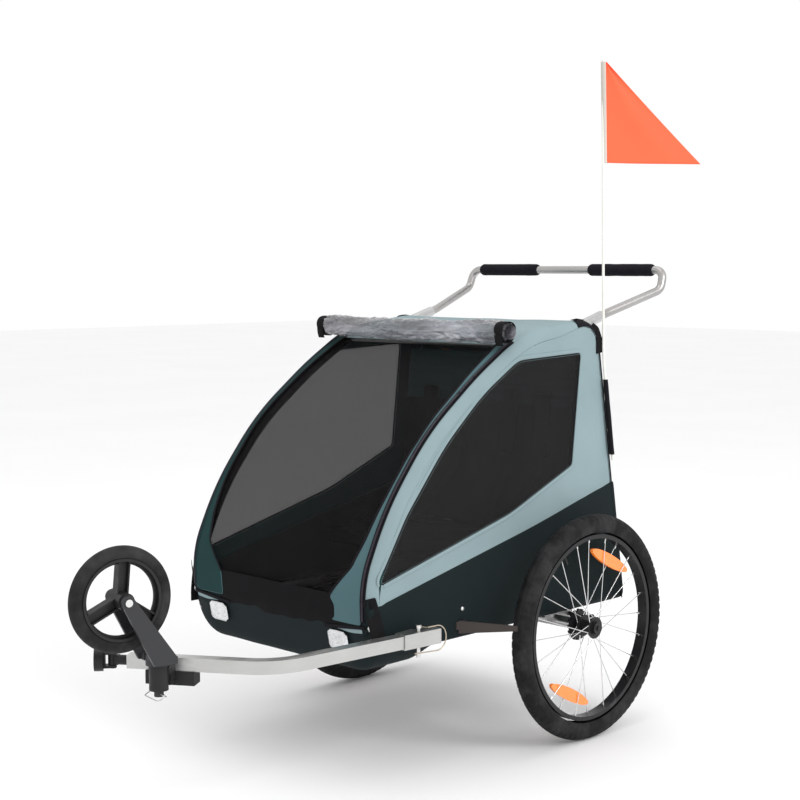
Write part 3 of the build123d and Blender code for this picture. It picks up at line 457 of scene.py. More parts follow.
def foam(name, colour=(0.011, 0.010, 0.014)):
    f = Finish(name, colour, 0.9, Specular_IOR_Level=0.12)
    f.blotches(40.0, 0.15)
    cells = f.add("ShaderNodeTexVoronoi", {"Vector": f.coordinates(), "Scale": 520.0}).outputs["Distance"]
    f.bump(cells, 0.3, 0.6)
    return f.material


def webbing(name, colour=(0.010, 0.010, 0.011), rib_mm=1.6):
    """Flat woven strap with ribs across it."""
    f = Finish(name, colour, 0.82, Specular_IOR_Level=0.12)
    f.blotches(60.0, 0.15)
    ribs = f.waves(1000 / rib_mm, turn=pi / 2)
    f.tint(ribs, 0.7)
    f.bump(ribs, 0.25, 0.6)
    return f.material


def film(name):
    """Dark see-through window film behind a fine printed mesh."""
    f = Finish(name, (0.0075, 0.007, 0.0075), 0.4, Alpha=0.86, Specular_IOR_Level=0.12)
    f.roughen(14.0, 0.26, 0.42)
    f.bump(f.noise(9.0, 3.0), 3.0, 0.25)
    dots = f.math("MULTIPLY", f.waves(520), f.waves(520, turn=pi / 2))
    alpha = f.add("ShaderNodeMapRange", {"Value": dots, "To Min": 0.88, "To Max": 0.70})
    f.tree.links.new(alpha.outputs["Result"], f.shader.inputs["Alpha"])
    return f.material


def clear_film(name):
    """Crumpled clear sheet, grey where it lies in many layers, with sharp glints from its coat, and streaks of painted
    shade and painted white highlights along its creases.
    """
    f = Finish(name, (0.3, 0.3, 0.33), 0.1, Specular_IOR_Level=0.9, Coat_Weight=1.0, Coat_Roughness=0.04)
    # Painted light: these streaks paint dark shade and white highlights into the sheet's colour.
    painted_light_streaks = f.noise(15.0, 7.0, stretch=(0.3, 1.6, 1.6), distortion=0.8)
    f.paint(f.ramp(painted_light_streaks, [(0.32, (0.045, 0.045, 0.055)), (0.46, (0.14, 0.14, 0.16)), (0.58, (0.30, 0.30, 0.34)),
                             (0.72, (0.75, 0.75, 0.8))]))
    alpha = f.add("ShaderNodeMapRange", {"Value": f.noise(11.0, 4.0, stretch=(0.5, 2, 2)), "From Min": 0.35,
                                         "From Max": 0.65, "To Min": 0.5, "To Max": 0.93})
    f.tree.links.new(alpha.outputs["Result"], f.shader.inputs["Alpha"])
    f.bump(f.noise(60.0, 7.0, stretch=(0.35, 1.5, 1.5), distortion=2.0), 4.0, 0.9)
    return f.material


def prism(name, colour, cell_mm=3.0, alpha=1.0, rough=0.12, painted_glow=0.0):
    """Moulded reflector lens over a field of small prisms, with a painted glow from its own emission when one is
    given.
    """
    f = Finish(name, colour, rough, Specular_IOR_Level=0.7, Coat_Weight=0.6, Coat_Roughness=0.05)
    # Painted glow: the lens shines by its own emission, standing in for the light it sends back.
    if painted_glow:
        f.shader.inputs["Emission Color"].default_value = (*colour, 1.0)
        f.shader.inputs["Emission Strength"].default_value = painted_glow
    cells = f.add("ShaderNodeTexVoronoi", {"Vector": f.coordinates(), "Scale": 1000 / cell_mm}).outputs["Distance"]
    f.tint(cells, 0.62, 1.15)
    f.bump(cells, 0.5, 0.6)
    return f.material


def reflective(name, colour=(0.78, 0.79, 0.8)):
    """Silver reflective tape with a faint honeycomb."""
    f = Finish(name, colour, 0.3, Metallic=0.55)
    cells = f.add("ShaderNodeTexVoronoi", {"Vector": f.coordinates("UV"), "Scale": 300.0},
                  feature="DISTANCE_TO_EDGE").outputs["Distance"]
    f.blotches(45.0, 0.12)
    f.tint(f.math("GREATER_THAN", cells, 0.08), 0.72)
    f.bump(f.noise(30.0, 5.0), 0.8, 0.4)
    return f.material


def ripstop(name, colour):
    """Thin bright flag cloth, with a painted glow from its own emission standing in for the light that passes through
    it.
    """
    f = Finish(name, colour, 0.75, Sheen_Weight=0.1)
    # Painted glow: the flag emits its own colour, standing in for light shining through the cloth.
    f.shader.inputs["Emission Color"].default_value = (*colour, 1.0)
    f.shader.inputs["Emission Strength"].default_value = 0.18
    threads = f.math("MAXIMUM", f.waves(170), f.waves(170, turn=pi / 2))
    f.blotches(9.0, 0.05)
    f.tint(threads, 0.94)
    f.bump(threads, 0.1, 0.4)
    return f.material


def fibre_rod(name):
    f = Finish(name, (0.78, 0.77, 0.72), 0.4, Coat_Weight=0.3)
    f.blotches(30.0, 0.06)
    f.roughen(120.0, 0.35, 0.5, stretch=(1, 1, 0.05))
    f.bump(f.noise(900.0, 2.0, stretch=(1, 1, 0.05)), 0.03, 0.5)
    return f.material


LIGHT_BLUE, TEAL = (0.262, 0.352, 0.372), (0.072, 0.152, 0.170)
CLOTH = woven("coated_cloth_pale_blue", LIGHT_BLUE)
CORNER_CLOTH = woven("coated_cloth_teal", TEAL, rough=0.72)
# Painted shade: the inside faces of the pale blue cloth get this dark teal, which stands in for the shade inside the
# cabin.
SHADED_INSIDE_CLOTH = woven("cloth_inside_painted_shade_teal", (0.014, 0.046, 0.046), thread_mm=1.1, shine=0.15)
TUB_CLOTH = woven("tub_cloth_black_teal", (0.0085, 0.0155, 0.0170), rough=0.62, thread_mm=1.3, shine=0.1, depth=0.2)
BLACK_CLOTH = woven("cover_cloth_black", (0.0085, 0.0080, 0.0090), rough=0.78, thread_mm=1.1, shine=0.08)
SEAT_CLOTH = woven("seat_cloth_charcoal", (0.012, 0.014, 0.015), rough=0.85, thread_mm=1.4, shine=0.1)
HEAD_CLOTH = woven("seat_cloth_teal", (0.022, 0.066, 0.068), rough=0.8, thread_mm=1.2, shine=0.15)
COVER_NET = netting("front_cover_net", (0.0095, 0.0085, 0.009), 1.8, 0.70, 0.18)
REAR_NET = netting("rear_pocket_net", (0.018, 0.018, 0.019), 3.2, 0.92, 0.35)
WINDOW_FILM = film("window_film_smoked")
WEBBING = webbing("webbing_black")
BINDING = webbing("binding_tape_black", (0.0105, 0.0095, 0.0125), 0.8)
ZIP_METAL = moulded("zip_coil_dark_plum", (0.022, 0.016, 0.026), 0.3)
BUCKLE = moulded("buckle_plastic_black", (0.015, 0.015, 0.016), 0.42)
TUBE_LONG_X = anodised("aluminium_tube_across", (0.55, 0.55, 0.55), along=(0.03, 1, 1))
TUBE_LONG_Y = anodised("aluminium_tube_lengthways", (0.55, 0.55, 0.55), along=(1, 0.03, 1))
TUBE_BAR = anodised("handlebar_aluminium", (0.42, 0.41, 0.405), rough=0.36, along=(0.1, 0.4, 0.4))
ARM_METAL = anodised("hitch_arm_aluminium", (0.50, 0.50, 0.49), rough=0.36, along=(0.4, 0.08, 1))
BRACKET = anodised("bracket_aluminium", (0.42, 0.42, 0.42), rough=0.42)
STEEL = steel("bolt_steel")
WIRE = steel("bail_wire_bronze", (0.52, 0.45, 0.36), 0.3)
SPOKE_STEEL = steel("spoke_stainless", (0.74, 0.74, 0.74), 0.2)
FORK_COAT = coated("fork_powder_coat", (0.035, 0.036, 0.038), 0.42)
BLACK_COAT = coated("black_powder_coat", (0.014, 0.014, 0.015), 0.38)
RIM_BLACK = coated("rim_black_anodised", (0.016, 0.016, 0.017), 0.3)
HUB_BLACK = coated("hub_black_anodised", (0.013, 0.013, 0.014), 0.35)
CAST_BLACK = moulded("caster_wheel_plastic", (0.017, 0.017, 0.018), 0.48)
GUARD = moulded("guard_plastic_dark_brown", (0.045, 0.036, 0.033), 0.5)
TYRE = rubber("tyre_rubber")
CASTER_RUBBER = rubber("caster_tyre_rubber", (0.0125, 0.0125, 0.013), 0.66)
FOAM = foam("grip_foam")
CLEAR = clear_film("rain_cover_film")
# Painted glow: the amber reflectors shine by their own emission.
AMBER = prism("reflector_amber", (0.95, 0.22, 0.012), painted_glow=0.25)
SILVER = reflective("reflective_silver")
FLAG_CLOTH = ripstop("flag_orange", (1.0, 0.105, 0.035))
HEM_CLOTH = woven("flag_hem_pale", (0.62, 0.58, 0.52), thread_mm=0.8)
ROD = fibre_rod("flag_rod_white")
RED_TAB = woven("label_tab_red", (0.32, 0.03, 0.03), thread_mm=0.7)

KEPT_NODES = {
    "side_rails": TUBE_LONG_Y, "base_crossbars": TUBE_LONG_X, "axle_tube": TUBE_LONG_X, "axle_plates": BRACKET,
    "pivot_plates": BRACKET, "pivot_bolts": STEEL, "front_hoops": TUBE_LONG_Y, "hoop_crossbars": TUBE_LONG_X,
    "rear_uprights": TUBE_LONG_Y, "upright_crossbar": TUBE_LONG_X, "handlebar_tube": TUBE_BAR,
    "hitch_receiver": ARM_METAL, "hitch_arm": ARM_METAL, "hitch_pin": STEEL, "hitch_pin_bail": WIRE,
    "coupler_neck": BLACK_COAT, "coupler_head": BLACK_COAT, "coupler_pin": STEEL, "caster_bracket": CAST_BLACK,
    "caster_fork": FORK_COAT, "caster_bolt": STEEL, "caster_clip": STEEL, "caster_rim": CAST_BLACK,
    "wheel_axles": BLACK_COAT, "axle_button_left": BUCKLE, "axle_button_right": BUCKLE, "parking_brake": BLACK_COAT,
    "wheel_guards": GUARD, "flag_pole": ROD, "hub_left": HUB_BLACK, "hub_right": HUB_BLACK,
    "rim_left": RIM_BLACK, "rim_right": RIM_BLACK, "caster_tyre": CASTER_RUBBER, "harness_buckles": BUCKLE,
    "spokes_left": SPOKE_STEEL, "spokes_right": SPOKE_STEEL, "reflectors_left": AMBER, "reflectors_right": AMBER,
}


def finish_kept_nodes():
    """Gives the CAD nodes that stay in view their materials."""
    for name, material in KEPT_NODES.items():
        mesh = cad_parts[name].data
        mesh.materials.clear()
        mesh.materials.append(material)


# ---- front mesh and its edges --------------------------------------------------------------------
# Half-width of the see-through mesh at distances along the outline from the front foot
NET_EDGE = [(-20, 168), (0, 170), (50, 173), (70, 190), (110, 225), (170, 241), (260, 251), (400, 255),
            (560, 251), (700, 242), (ROLL_FRONT_AT + 40, 230)]
ZIP_IN, ZIP_OUT = radians(3), radians(30)   # the zipper's tape on the round edge, from where the front is flat
HEM_S, HEM_HANG, HEM_HALF = -6.0, 17.0, 258
LOWER_TOP, LOWER_HALF = 52.0, 264           # the plain cloth below the mesh
BAND_STEP = 9.0


def net_edge(s):
    """Half-width of the see-through mesh, by distance along the outline."""
    for (a, half_a), (b, half_b) in zip(NET_EDGE, NET_EDGE[1:]):
        if s <= b:
            return mix(half_a, half_b, max(s - a, 0) / (b - a))
    return NET_EDGE[-1][1]


def around_corner(s, angle):
    """Distance across the skin from the centre to an angle round the cabin's edge."""
    return HALF - edge_radius(s) + edge_radius(s) * angle


def hem_line(w):
    """The lower cover's hem hangs lowest in the middle."""
    return HEM_S - HEM_HANG * (1 - min(abs(w) / HEM_HALF, 1) ** 2)


def band(name, inner, outer, s0, s1, material, thick=1.2, lift=0.0, across=6, puff=0.0, shaded_inside=None):
    """A strip of fabric on each side, between two half-widths that vary along the outline."""
    bm = bmesh.new()
    along = int((s1 - s0) / BAND_STEP)
    for side in (1, -1):
        def place(u, v):
            s = mix(s0, s1, v)
            w = mix(inner(s), outer(s), u)
            wave = puff * sin(pi * u) * (1 + 0.5 * noise.noise(Vector((s / 60, side, w / 40))))
            return skin(s, side * w, sink=-lift - wave)
        grid(bm, place, across, along, size=(abs(outer(s0) - inner(s0)) * MM, (s1 - s0) * MM))
    # Painted shade: where it is given, the strip's inside face takes the dark teal that stands in for the cabin's
    # shade.
    materials = [material, shaded_inside or material]
    return piece(name, bm, "chassis", materials, thick=thick, fold=True, level=1)


def front_net():
    """The see-through mesh, and the plain cloth below it that ends in the hanging hem."""
    bm = bmesh.new()

    def place(u, v):
        s = mix(LOWER_TOP - 6, ROLL_FRONT_AT + 30, v)
        w = mix(-1, 1, u) * (net_edge(s) + 5)
        fall = 5.0 * sin(pi * v) ** 0.5 * (1 - (2 * u - 1) ** 2) * noise.noise(Vector((s / 190, w / 160, 3)))
        return skin(s, w, sink=2.0 + 4.0 * (1 - (2 * u - 1) ** 4) + fall)

    grid(bm, place, 28, 56, size=(0.5, 0.83))
    net = piece("front_mesh_window", bm, "chassis", COVER_NET, fold=True, level=1)
    cloth(net, 505, 830)
    lower = bmesh.new()

    def place_lower(u, v):
        w = mix(-1, 1, u) * LOWER_HALF
        s = mix(hem_line(w), LOWER_TOP, v)
        creases = 3.0 * noise.noise(Vector((w / 45, s / 30, 8))) * (1 - v)
        sag = creases + 3.5 * sin(pi * v) * (1 - (w / LOWER_HALF) ** 2)
        return skin(s, w, sink=0.3 - max(sag, -2.5))

    grid(lower, place_lower, 60, 10, size=(0.53, 0.07))
    lower_cloth = piece("front_lower_cloth", lower, "chassis", BLACK_CLOTH, thick=1.0, fold=True, level=1,
                        replaces=["front_cover"])
    cloth(lower_cloth, 530, 75)


def front_corner_cloth():
    """Teal cloth between the mesh and the zipper on each side, and the tape that binds the mesh's edge."""
    strip = band("front_corner_cloth", lambda s: min(net_edge(s), around_corner(s, ZIP_IN) - 5),
                 lambda s: around_corner(s, ZIP_IN + 0.05), -3.0, ROLL_FRONT_AT + 8, CORNER_CLOTH,
                 thick=1.0, lift=0.8, puff=0.8, shaded_inside=SHADED_INSIDE_CLOTH)
    cloth(strip, 2 * 60, 830)
    edge = band("net_edge_binding", lambda s: net_edge(s) - 4, lambda s: net_edge(s) + 3, LOWER_TOP - 4,
                ROLL_FRONT_AT + 5, BINDING, thick=1.2, lift=1.8, across=2)
    cloth(edge, 14, 790)


def zipper():
    """The zipper along each side of the cover: its tape and the coil in the middle of it."""
    tape = band("zipper_tape", lambda s: around_corner(s, ZIP_IN), lambda s: around_corner(s, ZIP_OUT), 4.0,
                ROLL_FRONT_AT + 12, BINDING, thick=1.0, lift=1.6, across=6, shaded_inside=SHADED_INSIDE_CLOTH)
    cloth(tape, 28, 840)
    middle = mix(ZIP_IN, ZIP_OUT, 0.5)
    bm = bmesh.new()
    for side in (1, -1):
        line = [skin(s, side * around_corner(s, middle), sink=-3.6)
                for s in (8 + i * (ROLL_FRONT_AT - 4) / 90 for i in range(91))]
        path = Path(line)
        ring_tube(bm, path, 2.3 * MM, 6, step=0.0035, flat=0.75)
    close(bm)
    piece("zipper_coil", bm, "chassis", ZIP_METAL, fold=True)


def hem_tape():
    """Tape along the outer ends of the cover's hem, over a sliver of cabin cloth that shows below it."""
    bm = bmesh.new()
    for side in (1, -1):
        def place(u, v):
            w = mix(150, around_corner(0, ZIP_OUT) - 2, v)
            return skin(mix(hem_line(w) - 4, hem_line(w) + 3.5, u), side * w, sink=-2.2)
        grid(bm, place, 3, 22, size=(0.0075, 0.14))
    cloth(piece("cover_hem_tape", bm, "chassis", BINDING, thick=1.2, fold=True, level=1), 15, 150)
    sliver = bmesh.new()
    for side in (1, -1):
        def place(u, v):
            w = mix(168, 262, v)
            depth = 10 * smooth(v * 1.3)
            return skin(mix(hem_line(w) - 3 - depth, hem_line(w) - 1, u), side * w, sink=-0.6)
        grid(sliver, place, 3, 18, size=(0.012, 0.1))
    corner = piece("cover_corner_cloth", sliver, "chassis", CLOTH, thick=1.0, fold=True, level=1)
    cloth(corner, 24, 110)


# ---- sides, windows, roof and rear ---------------------------------------------------------------
WINDOW = [(-590, 402), (-500, 545), (-385, 680), (-270, 778), (-155, 846), (66, 855), (37, 596), (-176, 509)]
WINDOW_RADII = [12, 300, 600, 500, 90, 12, 15, 400]
WINDOW_LOOP = Path(rounded([WINDOW[-1], *WINDOW, WINDOW[0]], WINDOW_RADII)[1:-1], closed=True)
EDGE_STEPS, LOW_STEPS = 96, 36              # points along the side's round edge and along the tub line
ROUND_STEPS = 150


def side_at(side, y, z, sink=0.0):
    """A place on the flat side, sunk inward."""
    return at(side * (HALF - sink), y, z)


def panel_bulge(y, z):
    """Soft hollows between the hoops and the floor, and creases along the edges."""
    coarse = noise.noise(Vector((y / 210, z / 190, 5)))
    fine = noise.noise(Vector((y / 60, z / 75, 9)))
    return 2.2 * coarse + 0.9 * fine


def side_ring(s):
    """Where the round edge meets the flat side."""
    (y, z), (ny, nz) = outline_spot(s)
    depth = edge_radius(s)
    return y + ny * depth, z + nz * depth


def map_from_side(bm):
    """Lays the cloth's pattern on as seen from the side."""
    layer = bm.loops.layers.uv.active
    for face in bm.faces:
        for loop in face.loops:
            loop[layer].uv = (loop.vert.co.y, loop.vert.co.z)


def side_panel():
    """The side fabric runs from the zipper round onto the side, down to the tub line, with a hole for the window."""
    s_low, s_high = 22.0, HEEL_AT - 4
    front_y, bottom_rear = side_ring(s_low)[0], side_ring(s_high)
    rim = [side_ring(mix(s_low, s_high, i / EDGE_STEPS)) for i in range(EDGE_STEPS + 1)]
    low = [mix(bottom_rear[0], front_y, i / LOW_STEPS) for i in range(1, LOW_STEPS)]
    rim += [(y, tub_line_z(y) + 4) for y in low]
    ring = Path(rim, closed=True)
    start = min(range(len(WINDOW_LOOP.points) - 1), key=lambda i: (WINDOW_LOOP.points[i] - Vector(rim[0])).length)
    offset = WINDOW_LOOP.reach[start]
    inner_marks = [((WINDOW_LOOP.nearest(WINDOW[i]) - offset) % WINDOW_LOOP.length) / WINDOW_LOOP.length
                   for i in (0, 4, 5, 6)]
    outer_marks = [ring.nearest(m) / ring.length for m in
                   (rim[0], side_ring(ROLL_FRONT_AT + 10), side_ring(CORNER_AT), bottom_rear)]
    inner_marks[0], outer_marks[0] = 0.0, 0.0
    inner_marks.append(1.0)
    outer_marks.append(1.0)

    def warp(u):
        """Matches the corners of the window to the corners of the panel."""
        for a, b, c, d in zip(outer_marks, outer_marks[1:], inner_marks, inner_marks[1:]):
            if u <= b:
                return c + (d - c) * (u - a) / (b - a)
        return 1.0

    bm = bmesh.new()
    for side in (1, -1):
        def place(u, v):
            outer = ring.point(ring.length * u)
            inner = WINDOW_LOOP.point((WINDOW_LOOP.length * warp(u) + offset) % WINDOW_LOOP.length)
            y, z = mix(inner, outer, v)
            flat = smooth(v * 6) * smooth((1 - v) * 4)
            return side_at(side, y, z, sink=-panel_bulge(y, z) * flat)

        grid(bm, place, ROUND_STEPS, 12, size=(2.9, 0.16))

        def corner(u, v):
            s = mix(s_low, s_high, v)
            behind = mix(ZIP_OUT, radians(20), smooth((s - ROLL_FRONT_AT) / 30))
            first = ZIP_OUT - radians(3) if s < ROLL_FRONT_AT else behind
            angle = mix(first, pi / 2, u)
            crease = 0.7 * noise.noise(Vector((s / 34, u * 2, side))) * smooth(u * 3) * smooth((1 - u) * 3)
            return skin(s, side * around_corner(s, angle), sink=-0.6 - crease)

        grid(bm, corner, 6, ROUND_STEPS, size=(0.036, 1.45))
    merge(bm, 0.0009)
    map_from_side(bm)
    # Painted shade: the side cloth's inside face is the dark teal that stands in for the cabin's shade.
    panel = piece("side_cloth", bm, "chassis", [CLOTH, SHADED_INSIDE_CLOTH], thick=1.4, fold=True, level=1,
                  replaces=["side_panels"])
    cloth(panel, 2 * 800, 700)


def windows():
    """A smoked film in each side, drawn in a little at its middle, with a tape along its edge."""
    bm = bmesh.new()
    centre = Vector((-120, 700))
    for side in (1, -1):
        def place(u, v):
            rim = WINDOW_LOOP.point(WINDOW_LOOP.length * u)
            y, z = mix(centre, rim, v)
            sag = 3.5 * (1 - v ** 3) * (0.7 + 0.6 * noise.noise(Vector((y / 150, z / 120, side + 2))))
            return side_at(side, y, z, sink=1.2 + sag)
        grid(bm, place, 120, 12, size=(1.9, 0.25))
    merge(bm, 0.0006)
    map_from_side(bm)
    pane = piece("side_window_film", bm, "chassis", WINDOW_FILM, fold=True, level=1,
                 replaces=["side_windows"])
    cloth(pane, 2 * 660, 400)
    binding = bmesh.new()
    for side in (1, -1):
        def place_tape(u, v):
            along = WINDOW_LOOP.length * v
            y, z = WINDOW_LOOP.point(along)
            ahead = WINDOW_LOOP.heading(along, 5)
            reach = mix(-5.0, 4.5, u)
            lift = 1.5 * sin(pi * u)
            return side_at(side, y + ahead.y * reach, z - ahead.x * reach, sink=-0.3 - lift)
        grid(binding, place_tape, 4, 220, size=(0.01, WINDOW_LOOP.length * MM))
    merge(binding, 0.0001)
    tape = piece("window_binding", binding, "chassis", CLOTH, thick=0.8, fold=True, level=1)
    cloth(tape, 20, WINDOW_LOOP.length)


STITCH_GAP, STITCH_LENGTH, STITCH_WIDTH, STITCH_HEIGHT, STITCH_LIFT = 4.6, 3.0, 1.0, 0.8, 0.35


def seam(name, points, outward, material):
    """A row of lock stitches: short rounded threads lying along a line of points in metres."""
    path = Path(points)
    size = Matrix.Diagonal((STITCH_LENGTH * MM / 2, STITCH_WIDTH * MM / 2, STITCH_HEIGHT * MM / 2, 1))
    bm = bmesh.new()
    for i in range(int(path.length / (STITCH_GAP * MM))):
        spot = (i + 0.5) * STITCH_GAP * MM
        centre, ahead = path.point(spot), path.heading(spot, 0.003)
        side = ahead.cross(outward).normalized()
        up = side.cross(ahead).normalized()
        turn = Matrix((ahead, side, up)).transposed().to_4x4()
        place = Matrix.Translation(centre + up * STITCH_LIFT * MM) @ turn @ size @ Matrix.Rotation(pi / 2, 4, "Y")
        bmesh.ops.create_uvsphere(bm, u_segments=5, v_segments=4, radius=1.0, matrix=place)
    piece(name, bm, "chassis", material, fold=True)


def roof_and_rear():
    """The roof behind the rolled cover, the rear panel, its corner bindings and its netted pocket."""
    bm = bmesh.new()
    s0, s1 = ROLL_FRONT_AT - 6, CORNER_AT - 6

    def roof(u, v):
        s = mix(s0, s1, v)
        w = mix(-1, 1, u) * around_corner(s, radians(30))
        dip = 4.0 * sin(pi * v) * (1 - (2 * u - 1) ** 2)
        crease = 1.3 * noise.noise(Vector((w / 95, s / 40, 4)))
        return skin(s, w, sink=dip + crease - 0.4)

    grid(bm, roof, 60, 34, size=(0.56, 0.30))
    # Painted shade: the roof's inside face is the dark teal that stands in for the cabin's shade.
    roof_cloth = piece("roof_cloth", bm, "chassis", [CLOTH, SHADED_INSIDE_CLOTH], thick=1.4, fold=True, level=1,
                       replaces=["roof_panel"])
    cloth(roof_cloth, 560, 310)
    rear = bmesh.new()
    low_s = OUTLINE.length - FOOT_AT - 4

    def back(u, v):
        s = mix(s1 - 2, low_s, v)
        w = mix(-1, 1, u) * around_corner(s, radians(42))
        sag = 6.0 * sin(pi * v) * (1 - (2 * u - 1) ** 2) + 2.0 * noise.noise(Vector((w / 85, s / 120, 6)))
        return skin(s, w, sink=sag * 0.6)

    grid(rear, back, 56, 70, size=(0.56, 0.69))
    # Painted shade: the rear panel's inside face is the dark teal that stands in for the cabin's shade.
    rear_cloth = piece("rear_cloth", rear, "chassis", [CLOTH, SHADED_INSIDE_CLOTH], thick=1.4, fold=True, level=1,
                       replaces=["rear_panel"])
    cloth(rear_cloth, 560, 700)
    corner = bmesh.new()
    for side in (1, -1):
        def place(u, v):
            s = mix(s1 - 60, low_s, v)
            return skin(s, side * around_corner(s, mix(radians(4), radians(88), u)), sink=-1.8)
        grid(corner, place, 6, 70, size=(0.03, 0.75))
    binding = piece("rear_corner_binding", corner, "chassis", BINDING, thick=1.0, fold=True, level=1)
    cloth(binding, 60, 760)
    pocket = bmesh.new()
    top_s = CORNER_AT + 300

    def place_pocket(u, v):
        s = mix(top_s, low_s - 30, v)
        w = mix(-1, 1, u) * 232
        bag = 9.0 * sin(pi * min(v * 1.15, 1)) ** 0.7 * (1 - (2 * u - 1) ** 4)
        return skin(s, w, sink=-2.5 - bag - 1.5 * noise.noise(Vector((w / 50, s / 60, 12))))

    grid(pocket, place_pocket, 48, 32, size=(0.46, 0.33))
    cloth(piece("rear_pocket_net", pocket, "chassis", REAR_NET, fold=True, level=1), 470, 350)
    edge = bmesh.new()

    def place_edge(u, v):
        w = mix(-1, 1, v) * 234
        return skin(top_s + mix(-9, 9, u), w, sink=-3.5 - 1.2 * sin(pi * u))

    grid(edge, place_edge, 4, 50, size=(0.018, 0.47))
    cloth(piece("rear_pocket_elastic", edge, "chassis", BINDING, thick=1.5, fold=True, level=1), 20, 470)


# ---- tub -----------------------------------------------------------------------------------------
FOOT_BOTTOM, FOOT_CORNER_R, FLOOR_CORNER_R = 229.0, 75.0, 16
FLOOR_SKIN = FLOOR_Z - 1
TUB_PROFILE = [(-599.5, 352), (-598.5, 338), (-594, 316), (-589, 292), (-584, 268), (-579.5, 246), (-573, 235),
               (-562, FOOT_BOTTOM), (-540, FOOT_BOTTOM - 0.5), (-500, FOOT_BOTTOM - 0.5), (-440, FOOT_BOTTOM),
               (-420, 236), (-400, 255), (-380, FLOOR_SKIN), (-340, FLOOR_SKIN), (0, FLOOR_SKIN),
               (REAR_FOOT, FLOOR_SKIN)]


def tub():
    """The dark lower shell: front, footwell, floor and the sides up to the tub line, in one cloth."""
    bm = bmesh.new()
    path = Path(TUB_PROFILE)

    def place(u, v):
        """u goes up the left side, across the bottom and up the right side."""
        y, z = path.point(path.length * v)
        at_floor = smooth((y + 430) / 60)
        corner = mix(FOOT_CORNER_R, FLOOR_CORNER_R, at_floor) if y > -590 else FOOT_CORNER_R * 0.6
        half = HALF + 1.2
        side = 1 if u < 0.5 else -1
        t = abs(u - 0.5) * 2
        top = tub_line_z(y) + 6
        flat = half - corner
        bend = corner * pi / 2
        rise = max(top - z - corner, 1.0)
        run = t * (flat + bend + rise)
        if run < flat:
            x, up = run, 0.0
        elif run < flat + bend:
            a = (run - flat) / corner
            x, up = flat + corner * sin(a), corner * (1 - cos(a))
        else:
            x, up = half, corner + run - flat - bend
        sag = 1.4 * noise.noise(Vector((x / 70 * side, (y + up) / 80, 14)))
        near_front = smooth((-575 - y) / 22)
        x = x - near_front * 5 * smooth((x - flat) / corner)
        y -= REAR_LEAN * up * smooth((y - REAR_FOOT + 400) / 400)
        upright = run > flat + bend
        return at(side * (x + (sag * 0.5 if upright else 0)), y, z + up - (sag * 0.6 if run < flat else 0))

    grid(bm, place, 72, 110, size=(1.1, 1.2))
    merge(bm, 0.0004)
    tub_piece = piece("tub_cloth", bm, "chassis", [TUB_CLOTH, TUB_CLOTH], thick=1.6, level=1,
                      replaces=["tub_footwell", "tub_floor", "tub_sides"])
    cloth(tub_piece, 1100, 1250)


# ---- straps, patches and flaps -------------------------------------------------------------------
def lathe(bm, outline, centre, axis, side, steps):
    """Spins a line of (radius, height) points in millimetres round an axis."""
    verts = [bm.verts.new(centre + side * (r * MM) + axis * (h * MM)) for r, h in outline]
    edges = [bm.edges.new(pair) for pair in zip(verts, verts[1:])]
    bmesh.ops.spin(bm, geom=verts + edges, cent=centre, axis=axis, angle=2 * pi, steps=steps, use_merge=True)
    merge(bm, 0.00001)


def patches():
    """Folded silver patches on the tub's slanted front, the flaps over the zippers' ends and two rivets."""
    bm = bmesh.new()
    for side in (1, -1):
        def place(u, v):
            x, z = side * 191 + mix(-29, 29, u), mix(271, 313, v)
            corner = max(abs(u - 0.5), 0.36) + max(abs(v - 0.5), 0.3) - 0.86
            cut = max(corner, 0) * 40
            x, z = x - cut * (1 if u > 0.5 else -1), z - cut * (1 if v > 0.5 else -1)
            fold = 2.4 * abs(sin(2 * pi * u)) ** 0.6 * smooth(min(v, 1 - v) * 8)
            return at(x, -595.0 + (292 - z) * 0.2075 - fold, z)
        grid(bm, place, 16, 12, size=(0.058, 0.042))
    patch = piece("reflective_patches", bm, "chassis", SILVER, thick=1.2, replaces=["front_reflectors"])
    cloth(patch, 118, 42)
    flaps = bmesh.new()
    for side in (1, -1):
        def place_flap(u, v):
            """From over the zipper's end, round the corner and down the tub's side."""
            top = mix(Vector((265, -603, 386)), Vector((289, -585, 392)), u)
            low = mix(Vector((291, -594, 298)), Vector((291, -553, 298)), u)
            spot = mix(top, low, v)
            spot.x += 3.5 * sin(pi * v) * (1 - 0.5 * u) + 0.6 * noise.noise(Vector((u * 3, v * 5, side)))
            return at(side * spot.x, spot.y, spot.z)
        grid(flaps, place_flap, 8, 18, size=(0.036, 0.092))
    flap = piece("corner_flap_straps", flaps, "chassis", [WEBBING], thick=2.4, level=1,
                 replaces=["corner_flaps"])
    cloth(flap, 72, 96)
    rivets = bmesh.new()
    for side in (1, -1):
        centre, axis = at(side * (HALF + 1.6), -330, 330), Vector((side, 0, 0))
        lathe(rivets, [(0, 2.2), (2.6, 1.9), (4.6, 0.6), (5.0, -1.5)], centre, axis, Vector((0, 1, 0)), 20)
    piece("flap_rivets", rivets, "chassis", STEEL)


def hoop_sleeves():
    """Black sleeves sewn round the hoops behind the mesh."""
    bm = bmesh.new()
    for side in (1, -1):
        line = []
        for i in range(60):
            (y, z), (ny, nz) = outline_spot(mix(70, ROLL_FRONT_AT + 160, i / 59))
            line.append(at(side * 267.5, y + ny * 17.6, z + nz * 17.6))
        ring_tube(bm, Path(line), 13.4 * MM, 12, step=0.012)
    close(bm)
    piece("hoop_sleeves", bm, "front_frame", BLACK_CLOTH)


ROLL_AT, ROLL_STRAP_X = (-190.0, 905.0), 279


